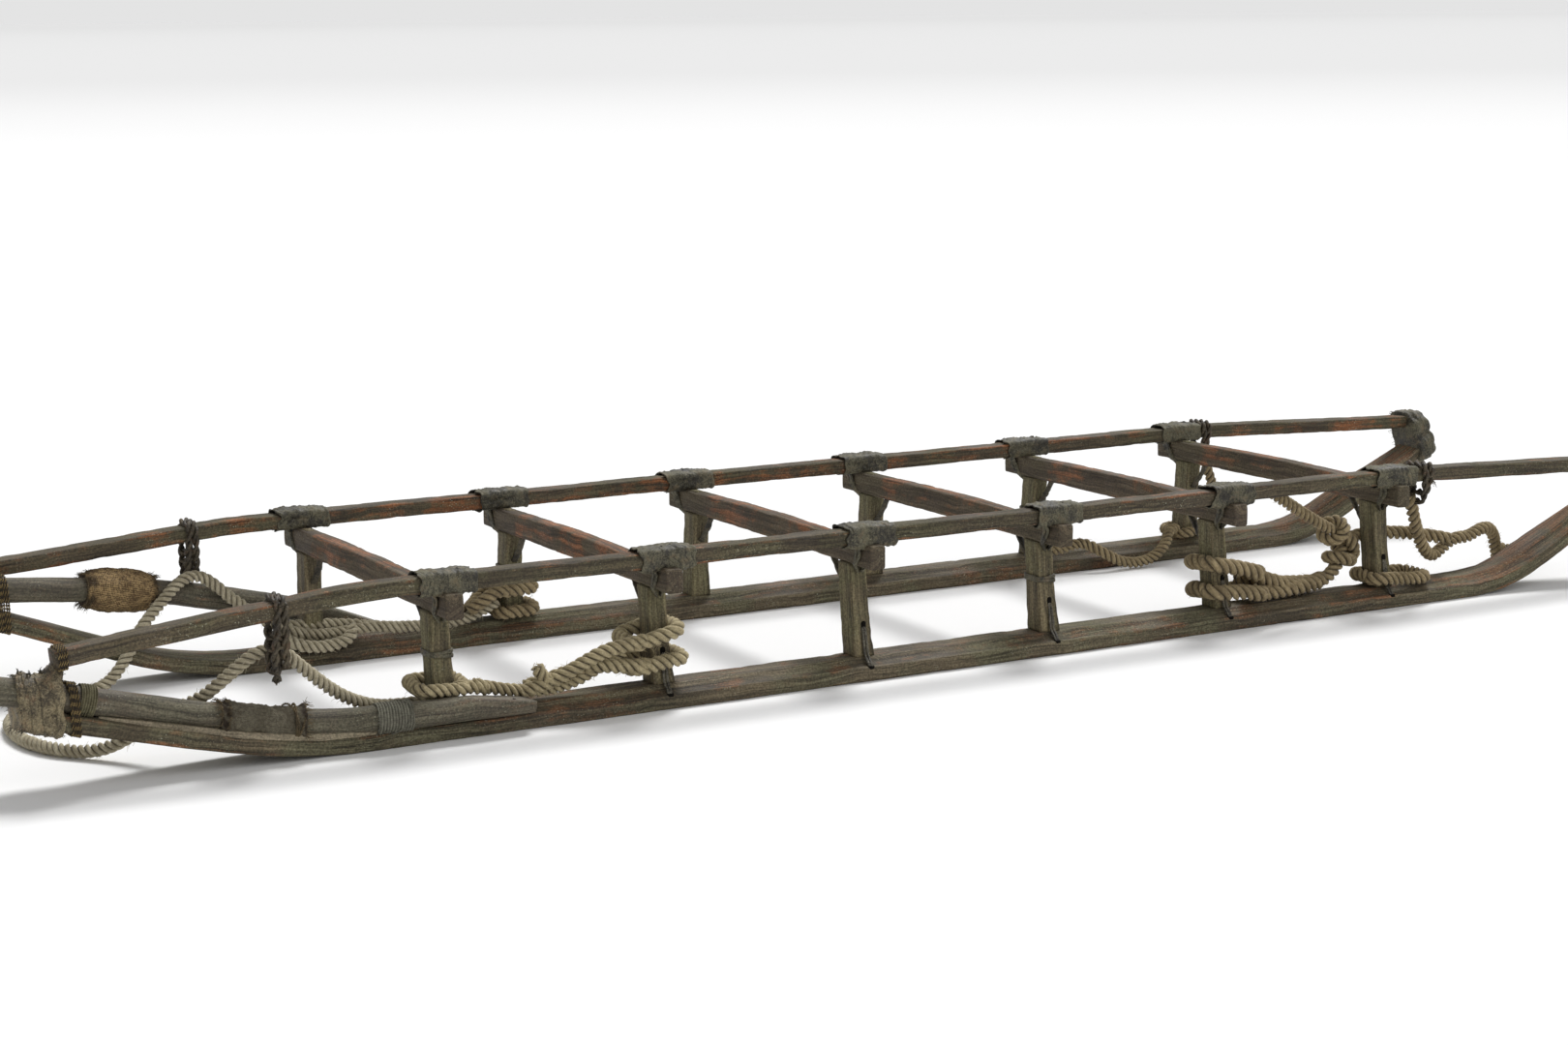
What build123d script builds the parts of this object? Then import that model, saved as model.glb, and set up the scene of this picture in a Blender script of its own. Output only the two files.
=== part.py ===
from build123d import *
from math import cos, degrees, hypot, radians, sin, sqrt, tan
import os

# Lashed wooden dog sled of the Nansen pattern: two ribbed runners bent up at both ends, six pairs of
# uprights, six crossbars, two side rails and a bent nose bow, all held together with hide lashings.
#
# Frame, in millimetres: X along the sled with the towing end at +X, Y to the sled's left, Z up. The origin
# is halfway along the sled, on its centre line, at the level of the runner soles.

# ---- bays -------------------------------------------------------------------------------------
bay_count = 6
bay_pitch = 360.0
first_bay_x = 790.0
bays = [first_bay_x - i * bay_pitch for i in range(bay_count)]
last_bay_x = bays[-1]
sides = {"left": 1, "right": -1}

# ---- runners ----------------------------------------------------------------------------------
track = 570.0                 # between the runners' centre lines
runner_y = track / 2
runner_width = 92.0
runner_edge = 24.0            # board thickness
rib_rise = 12.0               # rib above the board
rib_width = 42.0              # flat top of the rib
rib_root_width = 84.0         # foot of the rib's hollow flanks
flank_sag = 2.5               # depth of the hollow
board_bevel = 3.0
heel_start = 185.0            # level sole behind the last upright
heel_radius = 395.0
heel_angle = 25.0
heel_straight = 285.0
nose_start = {"left": 125.0, "right": 92.0}       # level sole ahead of the first upright
nose_radius = {"left": 900.0, "right": 650.0}
nose_angle = {"left": 14.0, "right": 21.0}        # the right nose has sprung higher
nose_straight = {"left": 290.0, "right": 265.0}
tip_width = 62.0
tip_taper = 230.0
plan_margin = 1.0             # of the plan outline beyond the board's straight edges
rib_front = 45.0              # the rib ends this far ahead of the first upright
rib_run_out = 26.0
rib_heel_margin = 95.0        # and this far short of the heel tip

# ---- uprights ---------------------------------------------------------------------------------
upright_depth = 40.0          # across the sled
upright_width = 31.0          # along the sled
upright_lean = 15.0           # each upright leans inwards by this much from foot to crossbar
upright_foot_y = runner_y
upright_top_y = upright_foot_y - upright_lean
foot_width = 38.0
foot_shift = -3.5             # the flare is on the rear edge
flare_top = 118.0
upright_bevel = 3.0
tenon_depth = 24.0
tenon_width = 14.0
foot_tenon = 12.0             # length of the tenon in the runner
joint_gap = 0.3
foot_z = runner_edge + rib_rise

# ---- side rails, each in three lengths scarfed together under the end lashings -------------------
rail_width = 39.0
rail_height = 25.0
rail_inset = 3.5              # from the upright's outer face to the rail
rail_y = upright_top_y + upright_depth / 2 + rail_inset + rail_width / 2
rail_bevel = 2.5
rail_scarf = 50.0             # length of each scarf along the rail
rail_bend_radius = 1500.0
rail_front_level = 60.0
rail_front_angle = {"left": 6.0, "right": 4.5}
rail_front_straight = 365.0
rail_rear_level = 260.0
rail_rear_angle = 6.0
rail_rear_straight = 185.0

# ---- crossbars --------------------------------------------------------------------------------
bar_overhang = 20.5           # beyond the rails
bar_length = 2 * (rail_y + rail_width / 2 + bar_overhang)
bar_width = 28.0
bar_height = 37.5
bar_top = 223.5
bar_bevel = 3.0
bar_crown = 4.0               # rise of the top between the uprights
bar_bottom = bar_top - bar_height
rail_z = bar_top + rail_height / 2

# ---- stays under the crossbars ----------------------------------------------------------------
stay_reach = 38.0             # from the upright, along the crossbar
stay_drop = 52.0              # from the crossbar, down the upright
stay_width = 10.0
stay_thickness = 5.0

# ---- hide lashings ----------------------------------------------------------------------------
hide = 3.5                    # thickness of a layer
hide_bevel = 4.0
lashing_length = 86.0         # along the rail
knot_drop = (14.0, 38.0)      # the turns round the upright, measured down from the crossbar
strip_thickness = 4.0
thong_width = 8.0
thong_thickness = 3.0
thong_height = 48.0           # of the slot in the upright, above its foot
thong_bend = 4.0              # round the edge of the upright's foot
thong_hole_y = 42.0           # from the runner's centre
thong_hole_radius = 3.0
band_height = 8.0
band_z = 120.0
upright_bands = {"left": (0, 3), "right": (1, 4)}   # uprights with a repair band

# ---- nose bow ---------------------------------------------------------------------------------
bow_radius = 20.0
bow_side_gap = 1.5            # from the first upright's foot to the leg beside it
bow_lay_y = runner_y + upright_depth / 2 + bow_side_gap + bow_radius
scarf_length = 120.0
scarf_end_thickness = 12.0

# ---- ropes ------------------------------------------------------------------------------------
rope_radius = 10.5
turn_corner = 13.0            # bend of a rope's centre line round an upright's edge

# rail thongs: side, distance ahead of the first upright or behind the last, tail length below the rail
rail_thongs = {"left": [("front", 258, 83), ("rear", 75, 20)], "right": [("front", 190, 50), ("rear", 63, 20)]}
rail_thong_width = 25.0
thong_tail_radii = (8.0, 12.5, 5.0)                 # under the rail, at the thickest place and at the tip

# turns round the uprights: upright, height, reach ahead of and behind the upright's centre
rope_turns = {"left": [(0, 76, 51, 45), (1, 113, 62, 42), (1, 72, 62, 42), (4, 100, 42, 95), (4, 58, 42, 95),
                       (5, 48, 37, 105)],
              "right": [(1, 89, 37, 45), (1, 50, 37, 45), (5, 48, 37, 53)]}

# routes of the ropes' centre lines
rope_routes = {
    "bridle_rope": [
        (752, 250, 44), (815, 250, 44), (878, 256, 46), (938, 268, 72), (993, 281, 118), (1035, 288.5, 160),
        (1073, 288.5, 160), (1115, 280, 125), (1152, 262, 92), (1192, 224, 72), (1232, 200, 36), (1278, 168, 10.7),
        (1325, 118, 10.7), (1350, 50, 10.7), (1352, -30, 10.7), (1335, -105, 10.7), (1280, -165, 10.7),
        (1215, -200, 10.7), (1155, -210, 16), (1118, -223, 52), (1088, -242, 96), (1048, -262, 128),
        (1003, -281, 164), (966, -291, 163), (928, -278, 126), (880, -262, 84), (822, -252, 54), (762, -252, 48),
        (700, -253, 54), (618, -252, 44), (535, -252, 44), (493, -254, 58), (464, -257, 69)],
    "rope_left_1_2": [
        (744.2, 300, 73), (715, 300, 64), (660, 300, 51), (600, 300, 51), (550, 298, 66), (493, 296, 91)],
    "rope_left_5_6": [
        (-746.2, 283, 57), (-800, 283, 48), (-870, 283, 48), (-918, 280, 68), (-948, 266, 103), (-985, 243, 121),
        (-1060, 242, 120), (-1135, 254, 112), (-1195, 268, 98)],
    "rope_left_rail": [
        (-768, 282, 226), (-795, 279, 211), (-850, 273, 178), (-905, 268, 148), (-932, 266, 136)],
    "rope_left_rear": [
        (-1068, 300, 195), (-1080, 298, 165), (-1098, 290, 125), (-1125, 278, 88), (-1158, 264, 68),
        (-1190, 253, 78), (-1222, 249, 94), (-1262, 246, 92), (-1305, 238, 106), (-1345, 222, 92),
        (-1368, 206, 48), (-1398, 186, 14), (-1440, 160, 10.7), (-1478, 138, 10.7)],
    "rope_right_5_6": [
        (-974.4, -262, 57), (-950, -252, 60), (-918, -216, 36), (-872, -208, 12), (-815, -210, 12), (-772, -216, 36),
        (-744, -249, 56), (-700, -251.5, 45), (-668, -251.5, 44)],
    "rope_right_rear": [
        (-1057, -298, 195), (-1074, -294, 165), (-1084, -289, 130), (-1078, -286, 95), (-1074.4, -284, 62)],
}


def sole_bends(side):
    """Ends of the straight runs of one runner's sole, in X and Z: heel tip, heel bend, nose bend, nose tip."""
    heel, nose = radians(heel_angle), radians(nose_angle[side])
    heel_bend = (last_bay_x - heel_start - heel_radius * sin(heel), heel_radius * (1 - cos(heel)))
    heel_tip = (heel_bend[0] - heel_straight * cos(heel), heel_bend[1] + heel_straight * sin(heel))
    nose_bend = (first_bay_x + nose_start[side] + nose_radius[side] * sin(nose),
                 nose_radius[side] * (1 - cos(nose)))
    nose_tip = (nose_bend[0] + nose_straight[side] * cos(nose), nose_bend[1] + nose_straight[side] * sin(nose))
    return heel_tip, heel_bend, nose_bend, nose_tip


def sole_path(side):
    """Line of one runner's sole from the heel tip to the nose tip."""
    heel_tip, heel_bend, nose_bend, nose_tip = sole_bends(side)
    heel = radians(heel_angle)
    flat_rear, flat_front = last_bay_x - heel_start, first_bay_x + nose_start[side]
    with BuildLine(Plane.XZ.offset(-sides[side] * runner_y)) as sole:
        Line(heel_tip, heel_bend)
        JernArc(heel_bend, (cos(heel), -sin(heel)), heel_radius, heel_angle)
        Line((flat_rear, 0), (flat_front, 0))
        JernArc((flat_front, 0), (1, 0), nose_radius[side], nose_angle[side])
        Line(nose_bend, nose_tip)
    return sole.line


def rib_path(side):
    """The stretch of the sole line that carries the rib."""
    _, heel_bend, _, _ = sole_bends(side)
    heel = radians(heel_angle)
    reach = heel_straight - rib_heel_margin
    start = (heel_bend[0] - reach * cos(heel), heel_bend[1] + reach * sin(heel))
    with BuildLine(Plane.XZ.offset(-sides[side] * runner_y)) as rib:
        Line(start, heel_bend)
        JernArc(heel_bend, (cos(heel), -sin(heel)), heel_radius, heel_angle)
        Line((last_bay_x - heel_start, 0), (first_bay_x + rib_front, 0))
    return rib.line


def section_plane(path, along=0.0):
    """Plane across a path, with local x to the sled's left and local y up."""
    return Plane(origin=path @ along, x_dir=(0, 1, 0), z_dir=path % along)


def tip_half_width(side, x):
    """Half the runner's width at a station of its tapered nose or heel."""
    heel_tip, _, _, nose_tip = sole_bends(side)
    inset = min(nose_tip[0] - x, x - heel_tip[0]) / tip_taper
    half = tip_width / 2 + (runner_width / 2 + plan_margin - tip_width / 2) * max(0.0, inset)
    return min(runner_width / 2, half)


def make_runner(side):
    """Board with a hollow-flanked rib, narrowed at the tips and mortised for the uprights."""
    sole, rib = sole_path(side), rib_path(side)
    heel_tip, _, _, nose_tip = sole_bends(side)
    y = sides[side] * runner_y
    with BuildPart() as runner:
        with BuildSketch(section_plane(sole)) as board:
            with Locations((0, runner_edge / 2)):
                Rectangle(runner_width, runner_edge)
            chamfer(board.vertices(), length=board_bevel)
        sweep(path=sole)
        with BuildSketch(section_plane(rib)):
            with BuildLine():
                base_y = runner_edge - board_bevel
                Polyline((-rib_root_width / 2, runner_edge), (-rib_root_width / 2, base_y),
                         (rib_root_width / 2, base_y), (rib_root_width / 2, runner_edge))
                SagittaArc((rib_root_width / 2, runner_edge), (rib_width / 2, foot_z), flank_sag)
                Line((rib_width / 2, foot_z), (-rib_width / 2, foot_z))
                SagittaArc((-rib_width / 2, foot_z), (-rib_root_width / 2, runner_edge), flank_sag)
            make_face()
        sweep(path=rib)
        # run-out of the rib ahead of the first upright
        end_x = first_bay_x + rib_front
        with BuildSketch(Plane.XZ.offset(-y)):
            Polygon((end_x - rib_run_out, foot_z + 1), (end_x + 1, foot_z + 1), (end_x + 1, runner_edge + 0.5),
                    align=None)
        extrude(amount=runner_width, both=True, mode=Mode.SUBTRACT)
        # plan outline with narrowed tips
        with BuildSketch(Plane.XY.offset(-1)):
            with Locations((0, y)):
                rear, front = heel_tip[0], nose_tip[0]
                half, tip = runner_width / 2 + plan_margin, tip_width / 2
                Polygon((rear - half, tip), (rear, tip), (rear + tip_taper, half), (front - tip_taper, half),
                        (front, tip), (front + half, tip), (front + half, -tip), (front, -tip),
                        (front - tip_taper, -half), (rear + tip_taper, -half), (rear, -tip),
                        (rear - half, -tip), align=None)
        extrude(amount=heel_tip[1] + 100, mode=Mode.INTERSECT)
        # mortises for the uprights and thong holes through the outer flank
        for x in bays:
            with BuildSketch(Plane.XY.offset(foot_z)):
                with Locations((x + foot_shift, y)):
                    Rectangle(tenon_depth + 2 * joint_gap, tenon_width + 2 * joint_gap)
            extrude(amount=-foot_tenon - joint_gap, mode=Mode.SUBTRACT)
            with BuildSketch(Plane.XY.offset(runner_edge)):
                with Locations((x + foot_shift, y + sides[side] * thong_hole_y)):
                    Circle(thong_hole_radius)
            extrude(amount=-runner_edge / 2, mode=Mode.SUBTRACT)
    return runner


def rail_end_line(side, end):
    """Centre line of one bent end of a side rail, from inside its scarf to its tip."""
    y = sides[side] * rail_y
    sign, joint, level, angle, straight = {
        "front": (1, first_bay_x, rail_front_level, rail_front_angle[side], rail_front_straight),
        "rear": (-1, last_bay_x, rail_rear_level, rail_rear_angle, rail_rear_straight)}[end]
    a = radians(angle)
    flat = joint + sign * level
    bend = (flat + sign * rail_bend_radius * sin(a), rail_z - rail_bend_radius * (1 - cos(a)))
    tip = (bend[0] + sign * straight * cos(a), bend[1] - straight * sin(a))
    with BuildLine(Plane.XZ.offset(-y)) as line:
        Line((joint - sign * rail_scarf, rail_z), (flat, rail_z))
        JernArc((flat, rail_z), (sign, 0), rail_bend_radius, -sign * angle)
        Line(bend, tip)
    return line.line


def scarf_outline(rear_x, front_x):
    """Side view of a straight length of rail between two scarf cuts, as X and Z."""
    low, high, lap = bar_top - 1, bar_top + rail_height + 1, rail_scarf / 2
    return [(rear_x - lap, low), (front_x - lap, low), (front_x + lap, high), (rear_x + lap, high)]


def make_rail_middle(side):
    """Straight length of rail from the last bay to the first, its ends cut to scarfs."""
    with BuildPart() as rail:
        with BuildSketch(Plane.YZ.offset(last_bay_x - rail_scarf)) as section:
            with Locations((sides[side] * rail_y, rail_z)):
                Rectangle(rail_width, rail_height)
            chamfer(section.vertices(), length=rail_bevel)
        extrude(amount=first_bay_x - last_bay_x + 2 * rail_scarf)
        with BuildSketch(Plane.XZ.offset(-sides[side] * rail_y)):
            Polygon(*scarf_outline(last_bay_x, first_bay_x), align=None)
        extrude(amount=rail_width, both=True, mode=Mode.INTERSECT)
    return rail


def make_rail_end(side, end):
    """Bent end of a rail, its inner end cut to meet the straight length's scarf."""
    line = rail_end_line(side, end)
    with BuildPart() as rail:
        with BuildSketch(section_plane(line)) as section:
            Rectangle(rail_width, rail_height)
            chamfer(section.vertices(), length=rail_bevel)
        sweep(path=line)
        with BuildSketch(Plane.XZ.offset(-sides[side] * rail_y)):
            Polygon(*scarf_outline(last_bay_x - joint_gap, first_bay_x + joint_gap), align=None)
        extrude(amount=rail_width, both=True, mode=Mode.SUBTRACT)
    return rail


def make_crossbar(x):
    """Bar crowned between the uprights, with a through mortise for each upright's tenon."""
    shoulder = upright_top_y - upright_depth / 2
    half = bar_length / 2
    with BuildPart() as bar:
        with BuildSketch(Plane.YZ.offset(x - bar_width / 2)):
            with BuildLine():
                Polyline((-shoulder, bar_top), (-half, bar_top), (-half, bar_bottom), (half, bar_bottom),
                         (half, bar_top), (shoulder, bar_top))
                ThreePointArc((shoulder, bar_top), (0, bar_top + bar_crown), (-shoulder, bar_top))
            make_face()
        extrude(amount=bar_width)
        chamfer(bar.edges().filter_by(Axis.Y).group_by(Axis.Z)[0], length=bar_bevel)
        with BuildSketch(Plane.XY.offset(bar_bottom)):
            with Locations((x, upright_top_y), (x, -upright_top_y)):
                Rectangle(tenon_width + 2 * joint_gap, tenon_depth + 2 * joint_gap)
        extrude(amount=bar_height + bar_crown, mode=Mode.SUBTRACT)
    return bar


def upright_section(z):
    """Centre offset along the sled, distance from the centre line and width of an upright at a height."""
    lean = (z - foot_z) / (bar_bottom - foot_z)
    y = upright_foot_y + (upright_top_y - upright_foot_y) * lean
    flare = max(0.0, (flare_top - z) / (flare_top - foot_z))
    return foot_shift * flare, y, upright_width + (foot_width - upright_width) * flare


def upright_face(z):
    """Distance of an upright's outer face from the centre line at a height."""
    return upright_section(z)[1] + upright_depth / 2


def upright_outline(side, x, z, grow, bevel):
    """Section of an upright, or of a wrapping round it, on the level plane at a height."""
    shift, y, width = upright_section(z)
    with BuildSketch(Plane.XY.offset(z)) as outline:
        with Locations((x + shift, sides[side] * y)):
            Rectangle(width + 2 * grow, upright_depth + 2 * grow)
        chamfer(outline.vertices(), length=bevel)
    return outline.sketch


def make_upright(side, x):
    """Leaning post with a flared foot and a tenon at each end."""
    with BuildPart() as upright:
        loft([upright_outline(side, x, z, 0, upright_bevel) for z in (foot_z, flare_top, bar_bottom)], ruled=True)
        with BuildSketch(Plane.XY.offset(bar_bottom)):
            with Locations((x, sides[side] * upright_top_y)):
                Rectangle(tenon_width, tenon_depth)
        extrude(amount=bar_height)
        with BuildSketch(Plane.XY.offset(foot_z)):
            with Locations((x + foot_shift, sides[side] * upright_foot_y)):
                Rectangle(tenon_depth, tenon_width)
        extrude(amount=-foot_tenon)
    return upright


def wrap_upright(side, x, low_z, high_z):
    """Add a band of hide round an upright to the part being built."""
    for grow, mode in ((joint_gap + hide, Mode.ADD), (joint_gap, Mode.SUBTRACT)):
        loft([upright_outline(side, x, z, grow, upright_bevel) for z in (low_z, high_z)], ruled=True, mode=mode)


def make_stays(side):
    """Small diagonal struts from each crossbar's underside to the upright's inner face."""
    sign = sides[side]
    low_z = bar_bottom - stay_drop
    face_rise = 1.6 * stay_thickness
    top_y = upright_section(bar_bottom)[1] - upright_depth / 2 - stay_reach
    low_y = upright_section(low_z)[1] - upright_depth / 2 - joint_gap
    high_y = upright_section(low_z + face_rise)[1] - upright_depth / 2 - joint_gap
    with BuildPart() as stays:
        for x in bays:
            with BuildSketch(Plane.YZ.offset(x - stay_width / 2)):
                Polygon((sign * top_y, bar_bottom - joint_gap),
                        (sign * (top_y + 1.2 * stay_thickness), bar_bottom - joint_gap),
                        (sign * high_y, low_z + face_rise), (sign * low_y, low_z), align=None)
            extrude(amount=stay_width)
    return stays


def wrap_rail(plane, length):
    """Add a tube of hide round the rail, centred on a plane across it, to the part being built."""
    for grow, bevel, mode in ((joint_gap + hide, hide_bevel, Mode.ADD), (joint_gap, rail_bevel, Mode.SUBTRACT)):
        with BuildSketch(plane) as outline:
            Rectangle(rail_width + 2 * grow, rail_height + 2 * grow)
            chamfer(outline.vertices(), length=bevel)
        extrude(outline.sketch, amount=length / 2, both=True, mode=mode)


def make_rail_lashings(side):
    """At each crossbar a hide sleeve round the rail, side strips past the bar and turns round the upright."""
    sign = sides[side]
    knot_high, knot_low = (bar_bottom - drop for drop in knot_drop)
    strip_low = knot_low + strip_thickness
    strip_y = upright_face((knot_high + knot_low) / 2)
    with BuildPart() as lashings:
        for x in bays:
            wrap_rail(Plane(origin=(x, sign * rail_y, rail_z), x_dir=(0, 1, 0), z_dir=(1, 0, 0)), lashing_length)
            # side strips slanting from the rail in to the upright, fore and aft of the crossbar
            for along in (-1, 1):
                start = x + along * (upright_width / 2 + joint_gap) - (strip_thickness if along < 0 else 0)
                with BuildSketch(Plane.YZ.offset(start)):
                    Polygon((sign * (rail_y - rail_width / 2 + hide), bar_top - joint_gap),
                            (sign * (rail_y + rail_width / 2 - 2 * hide), bar_top - joint_gap),
                            (sign * (strip_y + joint_gap + hide), strip_low),
                            (sign * (strip_y - upright_depth / 2 + hide), strip_low), align=None)
                extrude(amount=strip_thickness)
            wrap_upright(side, x, knot_low, knot_high)
            # clearance over the crossbar
            with BuildSketch(Plane.XY.offset(bar_bottom - joint_gap)):
                with Locations((x, sign * rail_y)):
                    Rectangle(bar_width + 2 * joint_gap, 3 * rail_width)
            extrude(amount=bar_height + joint_gap, mode=Mode.SUBTRACT)
    return lashings


def make_foot_thongs(side):
    """Doubled thongs from a slot low in each upright, over the rib and into a hole in the runner.

    The first uprights have none: the legs of the bow lie there.
    """
    sign = sides[side]
    lift = joint_gap + thong_thickness
    thong_top = foot_z + thong_height
    top_y, low_y, hole_y = upright_face(thong_top), upright_face(foot_z), runner_y + thong_hole_y
    with BuildPart() as thongs:
        for x in bays[1:]:
            inner = [(top_y + joint_gap, thong_top), (low_y + joint_gap, foot_z + thong_bend),
                     (low_y + thong_bend, foot_z + joint_gap), (hole_y, runner_edge + joint_gap)]
            outer = [(hole_y, runner_edge + lift + 1), (low_y + thong_bend + thong_thickness, foot_z + thong_bend),
                     (low_y + lift + joint_gap, foot_z + 2 * thong_bend), (top_y + lift, thong_top)]
            with BuildSketch(Plane.YZ.offset(x + foot_shift - thong_width / 2)):
                Polygon(*[(sign * y, z) for y, z in inner + outer], align=None)
            extrude(amount=thong_width)
    return thongs


def make_upright_bands(side):
    """Narrow hide bands round the uprights that have been mended."""
    with BuildPart() as bands:
        for i in upright_bands[side]:
            wrap_upright(side, bays[i], band_z, band_z + band_height)
    return bands


def lay_height(offset, radius):
    """Height at which a round pole rests in the hollow flank of a rib, this far from the runner's centre."""
    foot, shoulder = rib_root_width / 2, rib_width / 2
    run = foot - shoulder
    chord = hypot(run, rib_rise)
    hollow = (chord**2 / 4 + flank_sag**2) / (2 * flank_sag)
    centre_y = (foot + shoulder) / 2 + (hollow - flank_sag) * rib_rise / chord
    centre_z = runner_edge + rib_rise / 2 + (hollow - flank_sag) * run / chord
    return centre_z - sqrt((hollow - radius - joint_gap) ** 2 - (centre_y - offset) ** 2)


def bend_radii(points):
    """One radius for each inner point, as large as the shorter run beside it allows."""
    radii = []
    for a, b, c in zip(points, points[1:], points[2:]):
        before, after = Vector(*b) - Vector(*a), Vector(*c) - Vector(*b)
        half_turn = radians(before.get_angle(after) / 2)
        radii.append(0.45 * min(before.length, after.length) / tan(half_turn))
    return radii


def bent_line(points):
    with BuildLine() as line:
        FilletPolyline(*points, radius=bend_radii(points))
    return line.line


def tube(line, radius):
    """Add a round tube of cylinders and tori along straight runs and arcs to the part being built."""
    lengths = []
    for edge in line.edges():
        with BuildSketch(Plane(origin=edge @ 0, z_dir=edge % 0)) as section:
            Circle(radius)
        if edge.geom_type == GeomType.LINE:
            lengths.append(extrude(section.sketch, amount=edge.length, mode=Mode.PRIVATE))
        else:
            axis = Axis(edge.arc_center, (edge % 0).cross(edge % 1))
            turn = degrees(edge.length / edge.radius)
            lengths.append(revolve(section.sketch, axis=axis, revolution_arc=turn, mode=Mode.PRIVATE))
    add(lengths)


bow_lay_z = lay_height(bow_lay_y - runner_y, bow_radius)

# route of the bow from the left scarf end, round the nose, to the right one
bow_line = bent_line([
    (first_bay_x - 130, bow_lay_y, bow_lay_z),
    (first_bay_x + 80, bow_lay_y, bow_lay_z),
    (first_bay_x + 200, 306, 46),
    (first_bay_x + 300, 302, 62.5),
    (first_bay_x + 430, 299, 94.8),
    (first_bay_x + 640, 297, 148),
    (first_bay_x + 790, 268, 172),
    (first_bay_x + 840, 130, 180),
    (first_bay_x + 840, -110, 186),
    (first_bay_x + 785, -240, 191),
    (first_bay_x + 640, -266, 192),
    (first_bay_x + 503, -270, 176),
    (first_bay_x + 268, -300, 148),
    (first_bay_x + 64, -bow_lay_y, 97),
    (first_bay_x - 130, -bow_lay_y, bow_lay_z + 1),
])


def station(line, x, low=0.0, high=1.0):
    """How far along a line it reaches a given X, where X grows from the low end to the high one."""
    for _ in range(30):
        middle = (low + high) / 2
        if (line @ middle).X < x:
            low = middle
        else:
            high = middle
    return low


def on_bow(side, x):
    """Point of the bow's centre line above a station of one runner."""
    return bow_line @ (station(bow_line, x, 0.0, 0.5) if side == "left" else station(bow_line, x, 1.0, 0.5))


def make_bow():
    """Round pole bent round the nose, its ends scarfed to lie on the runners."""
    end_x = first_bay_x - 130
    end_z = bow_lay_z - bow_radius + scarf_end_thickness
    top = bow_lay_z + 4 * bow_radius
    with BuildPart() as bow:
        tube(bow_line, bow_radius)
        # scarfs: the top of each end is planed down
        for sign in (1, -1):
            with BuildSketch(Plane.XZ.offset(-sign * bow_lay_y)):
                slope_top = bow_lay_z + bow_radius + (0 if sign > 0 else 0.26 * scarf_length)
                Polygon((end_x - 20, end_z), (end_x, end_z), (end_x + scarf_length, slope_top + 1),
                        (end_x + scarf_length, top), (end_x - 20, top), align=None)
            extrude(amount=2 * bow_radius, both=True, mode=Mode.SUBTRACT)
    return bow


def make_sleeve(side, near, far, inner, outer, swell=0.0, open_below=False):
    """Wrapping round a straight stretch of the bow, with a barrel swell at mid-length.

    A wrapping that is tucked between the pole and the runner is left open below.
    """
    start, end = on_bow(side, first_bay_x + near), on_bow(side, first_bay_x + far)
    axis = end - start
    length = axis.length
    barrel = [(0.8, 0.75), (0.5, 1.0), (0.2, 0.75)] if swell else []
    outline = [(0, inner), (length, inner), (length, outer)]
    outline += [(along * length, outer + rise * swell) for along, rise in barrel]
    outline += [(0, outer)]
    with BuildPart() as sleeve:
        with BuildSketch(Plane(origin=start, x_dir=axis, z_dir=axis.cross(Vector(0, 0, 1)))):
            Polygon(*outline, align=None)
        revolve(axis=Axis(start, axis))
        if open_below:
            cut = bow_radius - 1
            with BuildSketch(Plane(origin=start, x_dir=axis, z_dir=(0, 1, 0))):
                Polygon((-cut, cut), (length + cut, cut), (length + cut, 3 * outer), (-cut, 3 * outer), align=None)
            extrude(amount=2 * outer, both=True, mode=Mode.SUBTRACT)
    return sleeve


def sole_z(side, x):
    """Height of the sole on the straight run of a nose or heel."""
    heel_tip, heel_bend, nose_bend, nose_tip = sole_bends(side)
    if x > 0:
        return nose_bend[1] + (x - nose_bend[0]) * tan(radians(nose_angle[side]))
    return heel_bend[1] + (heel_bend[0] - x) * tan(radians(heel_angle))


def rail_top(side, x):
    """Top of the sloping end of a side rail at a station."""
    level, angle, joint = ((rail_front_level, rail_front_angle[side], first_bay_x) if x > 0
                           else (rail_rear_level, rail_rear_angle, last_bay_x))
    a = radians(angle)
    distance = abs(x - joint)
    fall = rail_bend_radius * (1 - cos(a)) + (distance - level - rail_bend_radius * sin(a)) * tan(a)
    return rail_z - fall + rail_height / 2 / cos(a)


def make_band(side, near_x, far_x, outline):
    """Layer of hide or cord lofted round an outline that a function gives at each of two stations."""
    with BuildPart() as band:
        for grow, mode in ((joint_gap + hide, Mode.ADD), (joint_gap, Mode.SUBTRACT)):
            for x in sorted((near_x, far_x)):
                with BuildSketch(Plane.YZ.offset(x)):
                    Polygon(*[(sides[side] * y, z) for y, z in outline(side, x)], align=None)
                    offset(amount=grow, kind=Kind.INTERSECTION)
            loft(mode=mode, ruled=True)
    return band


def tip_outline(side, x):
    """Outline round a rail's end and the runner's tip below it, as distance from the centre line and Z."""
    top, low, half = rail_top(side, x), sole_z(side, x), tip_half_width(side, x)
    inner, outer = rail_y - rail_width / 2, rail_y + rail_width / 2
    edge = runner_edge / cos(radians(heel_angle))
    waist, middle = (inner + runner_y - half) / 2, (top + low + edge) / 2
    waist_low, waist_high = middle - bow_radius / 2, middle + bow_radius / 2
    if x > 0:
        pole = on_bow(side, x)
        waist = min(waist, pole.Y * sides[side] - bow_radius - joint_gap)
        waist_low = min(waist_low, pole.Z - bow_radius / 2)
        waist_high = max(waist_high, pole.Z + 0.9 * bow_radius)
    return [(outer, top), (outer, top - rail_height), (runner_y + half, low + edge / 2), (runner_y + half, low),
            (runner_y - half, low), (runner_y - half, low + edge), (waist, waist_low), (waist, waist_high),
            (inner, top)]


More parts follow.
